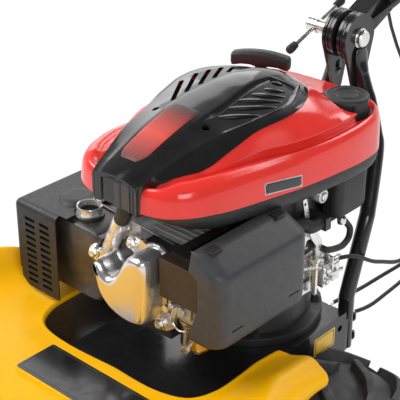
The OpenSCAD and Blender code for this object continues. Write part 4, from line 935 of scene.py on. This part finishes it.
# Air box behind the filter, with ribs and the hinge ears of the filter cover
b = Mesh()
b.box((47, -205, PZ + 130), (107.4, -66, PZ + 178))
for y in (-190, -160, -112, -84):
    b.box((52, y - 1.5, PZ + 177), (104, y + 1.5, PZ + 180.5))
for y in (-190, -150, -110, -80):
    b.box((45.4, y - 1.5, PZ + 133), (48, y + 1.5, PZ + 168))
ear = arc(97, PZ + 97, 4, -100, 40, 8)
ear += [(95.8, PZ + 104), (95.8, PZ + 131), (88, PZ + 131), (88, PZ + 106), (93.2, PZ + 96)]
for y in (-142.4, -129.6):
    b.plate([ear], y, y + 3, "xz")
b.lathe([(0, 2), (15, 2)], (97, -142, PZ + 97), (0, 1, 0), 16)
make("air_box_body", b, BROWN, rep="air_box", bevel=1.2)


# Filter cover: rounded plan, bevelled top, two clips
def plan(x0, x1, d, z):
    r = 18.0
    q = [(x0, -62 - d), (x1 - r, -62 - d)] + [(x1 - r + r * math.sin(t), -62 - d - r + r * math.cos(t))
                                              for t in np.linspace(0, math.pi / 2, 8)][1:]
    q += [(x1, -137)] + [(x1 - r + r * math.cos(t), -212 + d + r - r * math.sin(t))
                         for t in np.linspace(0, math.pi / 2, 8)] + [(x0, -212 + d), (x0, -137)]
    return [(x, y, PZ + z) for x, y in q]


LEVELS = [(97, 130, 3.5), (97.6, 132.6, 2.0), (99, 135.5, 0.8), (101.5, 138, 0.2), (105, 139.4, 0), (110, 140, 0),
          (140, 140, 0), (176, 140, 0), (183.5, 139.7, 0.1), (186.5, 138.2, 0.5), (189, 135.4, 1.0),
          (195, 127, 2.4), (201, 118.4, 3.8), (203.6, 114.2, 4.8), (204.8, 111.6, 6)]
b = Mesh()
b.loft([plan(97 if z < 128 else 108.4 if z < 180 else 96, x1, d, z) for z, x1, d in LEVELS])
b.lathe([(0, 4), (9, 4)], (97, -139, PZ + 97), (0, 1, 0), 20)
for y in (-184, -90):
    b.plate([rect(y - 9, PZ + 118, y + 9, PZ + 119.6, 0.6)], 139.6, 140.0, "yz")
make("filter_cover_shell", b, GREY, body="filter_cover", rep="filter_cover", sharp=30,
     bevel=0.6)
b = Mesh()
for y in (-190, -86):
    b.box((104, y - 8, PZ + 203.4), (117, y + 8, PZ + 206.8))
    b.box((103.2, y - 6, PZ + 181), (106.4, y + 6, PZ + 206))
make("filter_clips", b, MATTE, body="filter_cover", bevel=0.8)


# Fuel cap with flutes
def flute(t, h):
    side = smooth(5, 8, h) * (1 - smooth(36.5, 38, h))
    notch = smooth(38, 39, h) * 0.35
    return 1 - (0.085 * side + 0.05 * notch) * (1 - abs(math.cos(4.5 * t)) ** 7)


b = Mesh()
b.lathe([(0, 24), (0.4, 26.4), (2, 27.2), (5, 27.4), (8, 27.3), (20, 27.2), (36.4, 27.1), (37.6, 27.4), (40, 27.4),
         (41.6, 26.8), (42.6, 25.4), (43, 23.4), (43, 16.8), (42.4, 16), (41.6, 15.6), (41.6, 14.6), (42.6, 14),
         (43, 13), (43.2, 6), (43.2, 0.5)], (CAP_X, CAP_Y, 560), n=144, shape=flute)
make("fluted_fuel_cap", b, MATTE, body="fuel_cap", rep="fuel_cap", sharp=40)

# Fuel hose
fuel = [(88, 66, 137), (88, 66, 132), (89, 74, 122), (91, 80, 112), (94, 74, 103), (96, 60, 99), (97, 42, 102),
        (97, 27, 107), (92.5, 25, 108), (87.5, 25, 108)]
b = Mesh().tube(curve([(x, y, PZ + z) for x, y, z in fuel], 8), 4, 14)
b.lathe([(0, 5.2), (1, 5.6), (7, 5.6), (8, 5)], (88, 66, PZ + 124), (0, 0, 1), 20, 1)
make("fuel_line", b, [RUBBER, ZINC], rep="fuel_hose")

# Fuel tank: blow-moulded shell behind the blower, and the neck under the cap
b = Mesh()
outline = arc(82, 62, 12, -90, 0, 8) + arc(78, 98, 16, 0, 90, 9)
outline += arc(-44, 98, 16, 90, 180, 9) + arc(0, 0, 86.5, 134, 36, 24)
mid = np.array([30.0, 92.0])
secs = []
for z, d in ((458, 7), (459, 4), (461.5, 1.6), (466, 0), (497, 0), (528, 0), (534, 2)):
    row = []
    for q in outline:
        v = np.array(q) - mid
        row.append((*(mid + v * (1 - d / max(np.linalg.norm(v), 20))), z))
    secs.append(row)
b.loft(secs)
b.lathe([(504, 1), (504, 22), (549, 22), (550, 29), (556, 29), (556.5, 22), (584, 22), (584, 18), (540, 18)],
        (CAP_X, CAP_Y, 0), n=48)
make("rounded_fuel_tank", b, MATTE, rep="fuel_tank", sharp=40)

# Breather hose
breather = [(82, -66, 158), (82, -60, 158), (84, -44, 159), (92, -18, 158), (96, -8, 152), (96, 2, 150),
            (96, 10, 150)]
b = Mesh().tube(curve([(x, y, PZ + z) for x, y, z in breather], 8), 8, 18)
b.lathe([(0, 9), (1, 9.4), (8, 9.4), (9, 9)], (82, -64, PZ + 158), (0, 1, 0), 24, 1)
make("breather_line", b, [RUBBER, ZINC], rep="breather_hose")


# Governor and throttle bracket: plate, arm, springs, screws
def hole(y, z, r):
    return arc(y, z, r, 360, 0, 20)[:-1]


b = Mesh()
b.plate([rounded([(-40, 380), (40, 380), (46, 396), (46, 418), (22, 436), (-16, 434), (-40, 424)], 5),
         hole(-28, 412, 6), hole(20, 404, 4), rounded([(-12, 396), (6, 396), (6, 402), (-12, 402)], 2)[::-1]], 86,
        88.5, "yz")
b.plate([rounded([(-15, 512), (-8, 512), (4, 466), (-4, 464)], 2), hole(-10.4, 505, 2)], 88.5, 90.3, "yz")
b.plate([rounded([(-28, 430), (-15, 473), (5, 471), (21, 448), (25, 404), (15, 404), (11, 442), (0, 457),
                  (-8, 458), (-18, 430)], 3)], 91, 93, "yz")
b.lathe([(0, 7), (2, 7), (2, 4.6), (10, 4.6), (11, 3.8)], (88, -4, 465), (1, 0, 0), 24)
b.lathe([(0, 10.5), (2, 10.5), (2, 9), (5, 9), (6, 8)], (88, -26, 399), (1, 0, 0), 28)
b.box((86, 30, PZ + 76), (104, 32.6, PZ + 98))
b.box((88.4, 18, 384), (100, 30, 414))
b.box((91, 33, 388), (103, 46, 410))
b.lathe([(0, 8), (1.5, 8.6), (9, 8.6), (10, 7.6)], (96, 30, 400), (0.3, 1, 0), 24)
b.lathe([(0, 5), (6, 5), (6, 3.4), (14, 3.4)], (98, 40, 398), (0.2, 1, -0.1), 20)
b.lathe([(0, 4), (44, 4), (44, 6.4), (49, 6.4)], (95, 7, 380), (0, 0, 1), 6)
b.hexbolt((88.5, -34, 424), (1, 0, 0), 4, 4)
b.hexbolt((94, -26, 399), (1, 0, 0), 5, 4)
b.hexbolt((100, 24, 406), (1, 0, 0), 4, 4)
b.hexbolt((100, 24, 391), (1, 0, 0), 3.4, 4)
b.hexbolt((93, 20, 420), (1, 0, 0), 3.6, 3.6)
spring = [(96 + 3 * math.cos(t), lerp(-22, 16, t / 90), lerp(426, 412, t / 90) + 3 * math.sin(t))
          for t in np.arange(0, 90, 0.7)]
b.tube(spring, 0.65, 6)
spring = [(92 + 2.6 * math.cos(t), lerp(-40, -24, t / 60), lerp(446, 410, t / 60) + 2.6 * math.sin(t))
          for t in np.arange(0, 60, 0.7)]
b.tube(spring, 0.6, 6)
b.tube(curve([(92, -6, 447), (98, -30, 453), (96, -70, 447), (93, -140, 445)], 8), 1.2, 8)
b.tube([(98, 33, PZ + 87), (98, 26, PZ + 88), (96, 22, PZ + 85)], 1.2, 8)
make("governor_bracket", b, ZINC, rep="control_bracket", bevel=0.4)

# Thin control rod across the cylinder head and the sticker patch on the chassis
b = Mesh()
b.tube([(-55, -201, 541), (-55, -201, 536), (-53.6, -200.2, 533.4), (-13, -188, 519), (31, -165, 495)], 1.1, 8)
make("governor_rod", b, STEEL)
b = Mesh()
b.plate([rect(6, 289, 47, 315, 2)], 101.0, 101.35, "yz")
b.plate([rect(8, 291, 45, 313, 1.6), rect(9.2, 292.2, 43.8, 311.8, 1.2)[::-1]], 101.3, 101.5, "yz", 1)
make("blank_sticker", b, [STICKER, LABEL])

# Lower handle frame
TUBE = [(90, 84, PZ - 60), (90, 84, PZ + 4), (89.4, 87, PZ + 20), (87, 117, PZ + 100), (82, 130, PZ + 118),
        (62, 168, 500), (52, 176, 521), (34, 186, 553), (28, 186, 566), (21, 184, 587)]
b = Mesh()
for s in (1, -1):
    b.tube(curve([(s * x, y, z) for x, y, z in TUBE], 7), 10, 22)
    flat = []
    for k in range(9):
        w = k / 8
        cz, cy = lerp(587, 622, w), lerp(184, 182, w)
        cx = s * lerp(21, 20.4, w)
        rx = lerp(9.8, 3.0, smooth(0, 0.7, w))
        ry = lerp(9.8, 13, smooth(0, 0.7, w)) * (1 - 0.35 * smooth(0.8, 1, w))
        flat.append([(cx + rx * math.cos(t), cy + ry * math.sin(t), cz)
                     for t in np.linspace(0, 2 * math.pi, 25)[:-1]])
    b.loft(flat)
    out = arc(HINGE_Y, HINGE_Z, 30, -20, 200, 24) + arc(184, 565, 9, 200, 340, 8)
    b.plate([out, arc(HINGE_Y, HINGE_Z, 6.3, 360, 0, 24)[:-1]], 14 if s > 0 else -18, 18 if s > 0 else -14, "yz")
b.plate([rect(-101, PZ - 62, 101, PZ - 8, 6)], 70, 75, "xz")
for s in (1, -1):
    for zz in (-48, -20):
        b.hexbolt((s * 90, 94, PZ + zz), (0, 1, 0), 7, 6, 1)
make("lower_handle", b, [GLOSS, ZINC], rep="handle_frame", bevel=0.6, sharp=40)
b = Mesh()
b.lathe([(-62, 6), (0, 6), (0.2, 12.5), (2, 12.5), (2.2, 10.5), (6.6, 10.5), (8, 9.2), (8.2, 3)],
        (17.8, HINGE_Y, HINGE_Z), (1, 0, 0), 36)
make("clamp_bolt_head", b, ZINC, rep="clamp_bolt", sharp=35)


# Handlebar, in its own sloped frame
class Bar(Mesh):
    def add(self, verts, faces, mat=0):
        return Mesh.add(self, [bar_pt(*p) for p in verts], faces, mat)


b = Bar()
hub = [(-13.6, 27), (-13.2, 29), (-12, 30), (-9.6, 30), (-9, 28.4), (-8.4, 30), (-4.2, 30), (-3.6, 29.2),
       (-3.5, 18.2)]
b.lathe(hub + [(-h, r) for h, r in hub[::-1]], (0, 0, 0), (1, 0, 0), 64)
b.box((-13.6, 10, -16), (13.6, 78, 16))
b.plate([rounded([(-13.6, 20), (13.6, 20), (30, 96), (-30, 96)], 6)], -3, 3, "xy")
for s in (1, -1):
    b.tube(curve([(s * 11, 66, 0), (s * 18, 100, 0), (s * 27, 118, 0), (s * 118, 220, 0), (s * 208, 321, 0),
                  (s * 218, 335, 0), (s * 250, 391, 0), (s * BAR_X, 408, 0), (s * BAR_X, 430, 0),
                  (s * BAR_X, 560, 0), (s * BAR_X, 736, 0)], 6), 12, 24)
    b.box((s * BAR_X - 7, 549, -34), (s * BAR_X + 7, 581, -6))
    b.lathe([(0, 14), (1, 14.6), (31, 14.6), (32, 14)], (s * BAR_X, 549, 0), (0, 1, 0), 32)
    b.lathe([(-18, 4), (18, 4)], (s * BAR_X, PIVOT_Y, PIVOT_Z), (1, 0, 0), 20, 1)
    b.hexbolt((s * (BAR_X + 18), PIVOT_Y, PIVOT_Z), (s, 0, 0), 6, 4, 1)
b.box((-267, 428, 6), (-243, 462, 24))
b.lathe([(0, 5), (16, 5)], (-243.5, THROTTLE_Y, THROTTLE_Z), (1, 0, 0), 24, 1)
make("folding_handlebar", b, [GLOSS, ZINC], body="handlebar", rep="handlebar", bevel=1.0,
     sharp=40)
b = Bar()
for s in (1, -1):
    prof = [(0, 13), (0.6, 15.6), (2, 16), (4, 16)]
    for k in range(20):
        y = 6 + 6.1 * k
        prof += [(y, 16), (y + 1, 14.9), (y + 2.6, 14.9), (y + 3.6, 16)]
    prof += [(131, 16), (133.6, 15.4), (135, 13.2), (135, 4)]
    b.lathe(prof, (s * BAR_X, 605, 0), (0, 1, 0), 32)
make("ribbed_grips", b, RUBBER, body="handlebar", rep="grips", sharp=50)
cl, sl = math.cos(LEVER_SLOPE), math.sin(LEVER_SLOPE)
for name, s, m, slot in (("blade", 1, LEVER, "lever_red"), ("drive", -1, MATTE, "matte_black")):
    def at(x, y, z):
        return (s * BAR_X + s * x, PIVOT_Y + y * cl - z * sl, PIVOT_Z + y * sl + z * cl)
    b = Bar()
    b.lathe([(0, 9), (0.8, 10), (9.2, 10), (10, 9)], at(-17.5, 0, 0), (s, 0, 0), 32)
    b.tube([at(-12.5, 2, 0), at(-12.5, 34, 0)], 5, 16)
    b.tube(curve([at(-12.5, 28, 0), at(-12.5, 42, 0), at(-6, 53, -2), at(0, 64, -4), at(0, 80, -4), at(0, 165, -4),
                  at(0, 170.4, -4)], 5), 6, 18)
    make(name + "_lever_rod", b, m, body=name + "_lever", rep=name + "_lever", sharp=40)
b = Bar()
b.lathe([(0, 12), (0.8, 13), (7.2, 13), (8, 12)], (-242.5, THROTTLE_Y, THROTTLE_Z), (1, 0, 0), 36)
b.plate([rounded([(440, 20), (450, 20), (451, 58), (449, 63), (441, 63), (439, 58)], 2)], -241.5, -235.5, "yz")
make("throttle_paddle", b, MATTE, body="throttle_lever", rep="throttle_lever", bevel=0.8)

# Clamp nut and its cross bar
b = Mesh()
b.lathe([(0, 8), (1, 9.6), (16, 9.6), (17, 8.6), (25, 8.6), (26, 9.8), (40, 9.8), (42, 9)],
        (-60.3, HINGE_Y, HINGE_Z), (1, 0, 0), 36)
make("clamp_nut_body", b, ZINC, body="clamp_nut", rep="clamp_nut", sharp=35)
b = Mesh()
d = unit(vec(0, -math.cos(math.radians(20)), -math.sin(math.radians(20))))
mid = vec(-50, HINGE_Y, HINGE_Z)
b.tube([mid - 52 * d, mid, mid + 52 * d], 3, 16)
for s in (1, -1):
    b.lathe([(42, 3.2), (43, 4.8), (50, 5.5), (55, 5.5), (57.4, 4.4), (58, 2)], mid, d * s, 24, 1)
make("cross_bar_rod", b, [ZINC, MATTE], body="clamp_nut", rep="cross_bar", sharp=35)

# Recoil handle, and the rope under it, which rides no body
b = Mesh()
cs, sn = math.cos(math.radians(23)), math.sin(math.radians(23))
hx, hy, hz = PULL_X, PULL_Y, ZR + 80.5
secs = []
for t in np.linspace(-1, 1, 41):
    e = abs(t)
    k = 1 - 0.35 * smooth(0.95, 1.0, e)
    w = (9.6 - 0.8 * e * e) * k
    up = hz + 9.4 - 5.2 * e * e - 1.6 * smooth(0.95, 1, e)
    lo = hz - 10.6 - 1.4 * e * e + 1.6 * smooth(0.95, 1, e)
    lo += 1.6 * smooth(0.15, 0.35, e) * (1 - smooth(0.6, 0.9, e))
    sec = []
    for a in np.linspace(0, 2 * math.pi, 33)[:-1]:
        ca, sa = math.cos(a), math.sin(a)
        q = (abs(ca) ** 3.2 + abs(sa) ** 3.2) ** (-1 / 3.2)
        v, z = w * ca * q, lerp(lo, up, 0.5 + 0.5 * sa * q)
        sec.append((hx + 37 * t * cs - v * sn, hy + 37 * t * sn + v * cs, z))
    secs.append(sec)
b.loft(secs)
b.lathe([(67.6, 5.6), (68.2, 7), (72, 7), (74, 8.4)], (hx, hy, ZR), n=28)
make("starter_grip", b, MATTE, body="recoil_handle", rep="recoil_handle", sharp=50)
b = Mesh().tube([(hx, hy, ZR + z) for z in np.linspace(56, 71, 24)], 2, 10)
rope = make("starter_rope", b, RUBBER, ride=False)
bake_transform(rope)

# Tyres with chevron lugs
LUGS = 14
for name, s in (("left", 1), ("right", -1)):
    b = Mesh()
    c = vec(s * 160, AXLE_Y, AXLE_Z)
    flank = [(-33, 79), (-35.5, 85), (-41, 85.5), (-44, 92), (-47.4, 99), (-49.4, 108), (-50, 118), (-49, 130),
             (-45, 141), (-38, 147), (-30, 150.2), (-12, 153)]
    b.lathe(flank + [(-h, r) for h, r in flank[::-1]], c, (1, 0, 0), 96)
    for i in range(LUGS):
        for q in (-1, 1):
            base = 2 * math.pi * (i + (0.5 if q > 0 else 0)) / LUGS
            rows = []
            for k in range(7):
                w = k / 6
                x = q * (1 + 48 * w)
                ang = base + (0.02 + 0.2 * w)
                hw = lerp(0.046, 0.062, w)
                ro = 165 - 3 * w - 12 * max(0, w - 0.8) / 0.2
                ri = 150 - 14 * max(0, w - 0.55) / 0.45
                row = []
                for da, r in ((-hw, ri), (-hw * 0.8, ro - 1), (-hw * 0.6, ro), (hw * 0.6, ro), (hw * 0.8, ro - 1),
                              (hw, ri)):
                    row.append(c + vec(x, r * math.cos(ang + da), r * math.sin(ang + da)))
                rows.append(row)
            b.loft(rows)
    make(name + "_lugged_tyre", b, TYRE, body="wheels", rep=name + "_tyre", sharp=35)

# Finishes on the solids that stay
KEEP = {
    PLATE: ["chassis"], GLOSS: ["blade_housing"],
    DARK: ["skids", "flywheel", "blade_idler_arm", "drive_idler_arm"],
    IRON: ["spindle_housing", "gearbox"], FIN: ["cylinder_block"], PAINT: ["crankcase", "cylinder_head"],
    STEEL: ["crankshaft", "engine_pulley", "blade_spindle", "spindle_pulley", "blade", "blade_bolt",
            "gearbox_pulley", "axle", "blade_idler_pulley", "drive_idler_pulley"],
    BELT: ["blade_belt", "drive_belt"], RIM: ["left_rim", "right_rim"], FOAM: ["filter_element"],
}
SOFT = {"cylinder_head": 2.0, "crankcase": 1.5, "chassis": 0.8, "gearbox": 3.0, "skids": 1.5, "left_rim": 1.0,
        "right_rim": 1.0}
for m, names in KEEP.items():
    for name in names:
        o = nodes[name]
        for k in o.material_slots:
            k.material = m
        if name in SOFT:
            w = o.modifiers.new("weld", "WELD")
            w.merge_threshold = 0.00002
            k = o.modifiers.new("bevel", "BEVEL")
            k.width = SOFT[name] * MM
            k.segments = 3
            k.limit_method = "ANGLE"
            k.angle_limit = math.radians(42)

# Studio: pale floor, white surroundings, soft lamps
scene = bpy.context.scene
scene.view_settings.view_transform = "Standard"
world = bpy.data.worlds.new("studio")
scene.world = world
world.use_nodes = True
nt = world.node_tree
nt.nodes.clear()
out = nt.nodes.new("ShaderNodeOutputWorld")


def rays(nt, names):
    """1 for the named kinds of ray."""
    kinds = node(nt, "LightPath").outputs
    last = kinds[names[0]]
    for n in names[1:]:
        m = node(nt, "Math", [(0, last), (1, kinds[n])])
        m.operation = "MAXIMUM"
        last = m.outputs[0]
    return last


def either(nt, share, a, b):
    """Shader a, with a share of b."""
    return node(nt, "MixShader", [(0, share), (1, a.outputs[0]), (2, b.outputs[0])])


def sky(strength):
    return node(nt, "Background", Color=(1, 1, 1, 1), Strength=strength)


# White backdrop behind the machine, a dim room on the camera's side
lit, seen, mirror = sky(0.55), sky(1.0), sky(1.0)
dot = node(nt, "VectorMath", [(0, node(nt, "TexCoord").outputs["Generated"])])
dot.operation = "DOT_PRODUCT"
dot.inputs[1].default_value = (-0.62, 0.68, -0.4)
rng = node(nt, "MapRange", [("Value", dot.outputs["Value"])], From_Min=0.0, From_Max=0.95, To_Min=0.16, To_Max=1.0)
rng.interpolation_type = "SMOOTHSTEP"
nt.links.new(rng.outputs["Result"], mirror.inputs["Strength"])
around = either(nt, rays(nt, ["Is Glossy Ray", "Is Transmission Ray"]), lit, mirror)
around = either(nt, rays(nt, ["Is Camera Ray"]), around, seen)
nt.links.new(around.outputs[0], out.inputs["Surface"])

floor_mat = bpy.data.materials.new("studio_floor")
floor_mat.use_nodes = True
nt = floor_mat.node_tree
paint = nt.nodes["Principled BSDF"]
paint.inputs["Base Color"].default_value = (0.86, 0.86, 0.86, 1)
paint.inputs["Roughness"].default_value = 0.9
glow = node(nt, "Emission", Color=(1, 1, 1, 1), Strength=1.0)
share = node(nt, "Math", [(0, rays(nt, ["Is Camera Ray", "Is Glossy Ray", "Is Transmission Ray"]))])
share.operation = "MULTIPLY"
share.inputs[1].default_value = 0.8
nt.links.new(either(nt, share.outputs[0], paint, glow).outputs[0], nt.nodes["Material Output"].inputs["Surface"])
me = bpy.data.meshes.new("floor")
REACH = 14.0
me.from_pydata([(x, y, -MM) for x, y in rect(-REACH, -REACH, REACH, REACH)], [], [(0, 1, 2, 3)])
me.materials.append(floor_mat)
floor = bpy.data.objects.new("floor", me)
scene.collection.objects.link(floor)


LAMPS_AIM = Vector((0, 0, 0.45))


def lamp(name, loc, size, power):
    """Soft rectangle of light turned towards the engine."""
    d = bpy.data.lights.new(name, "AREA")
    d.shape = "RECTANGLE"
    d.size, d.size_y = size
    d.energy = power
    o = bpy.data.objects.new(name, d)
    scene.collection.objects.link(o)
    o.location = loc
    o.rotation_euler = (Vector(loc) - LAMPS_AIM).to_track_quat("Z", "Y").to_euler()


lamp("key", (-2.0, -1.2, 2.6), (1.8, 1.8), 75)
lamp("fill", (2.4, -1.6, 1.9), (1.4, 1.4), 34)
lamp("back", (0.2, 2.6, 2.4), (2.2, 1.2), 36)
lamp("side", (-2.5, 1.7, 1.9), (2.4, 1.8), 22)
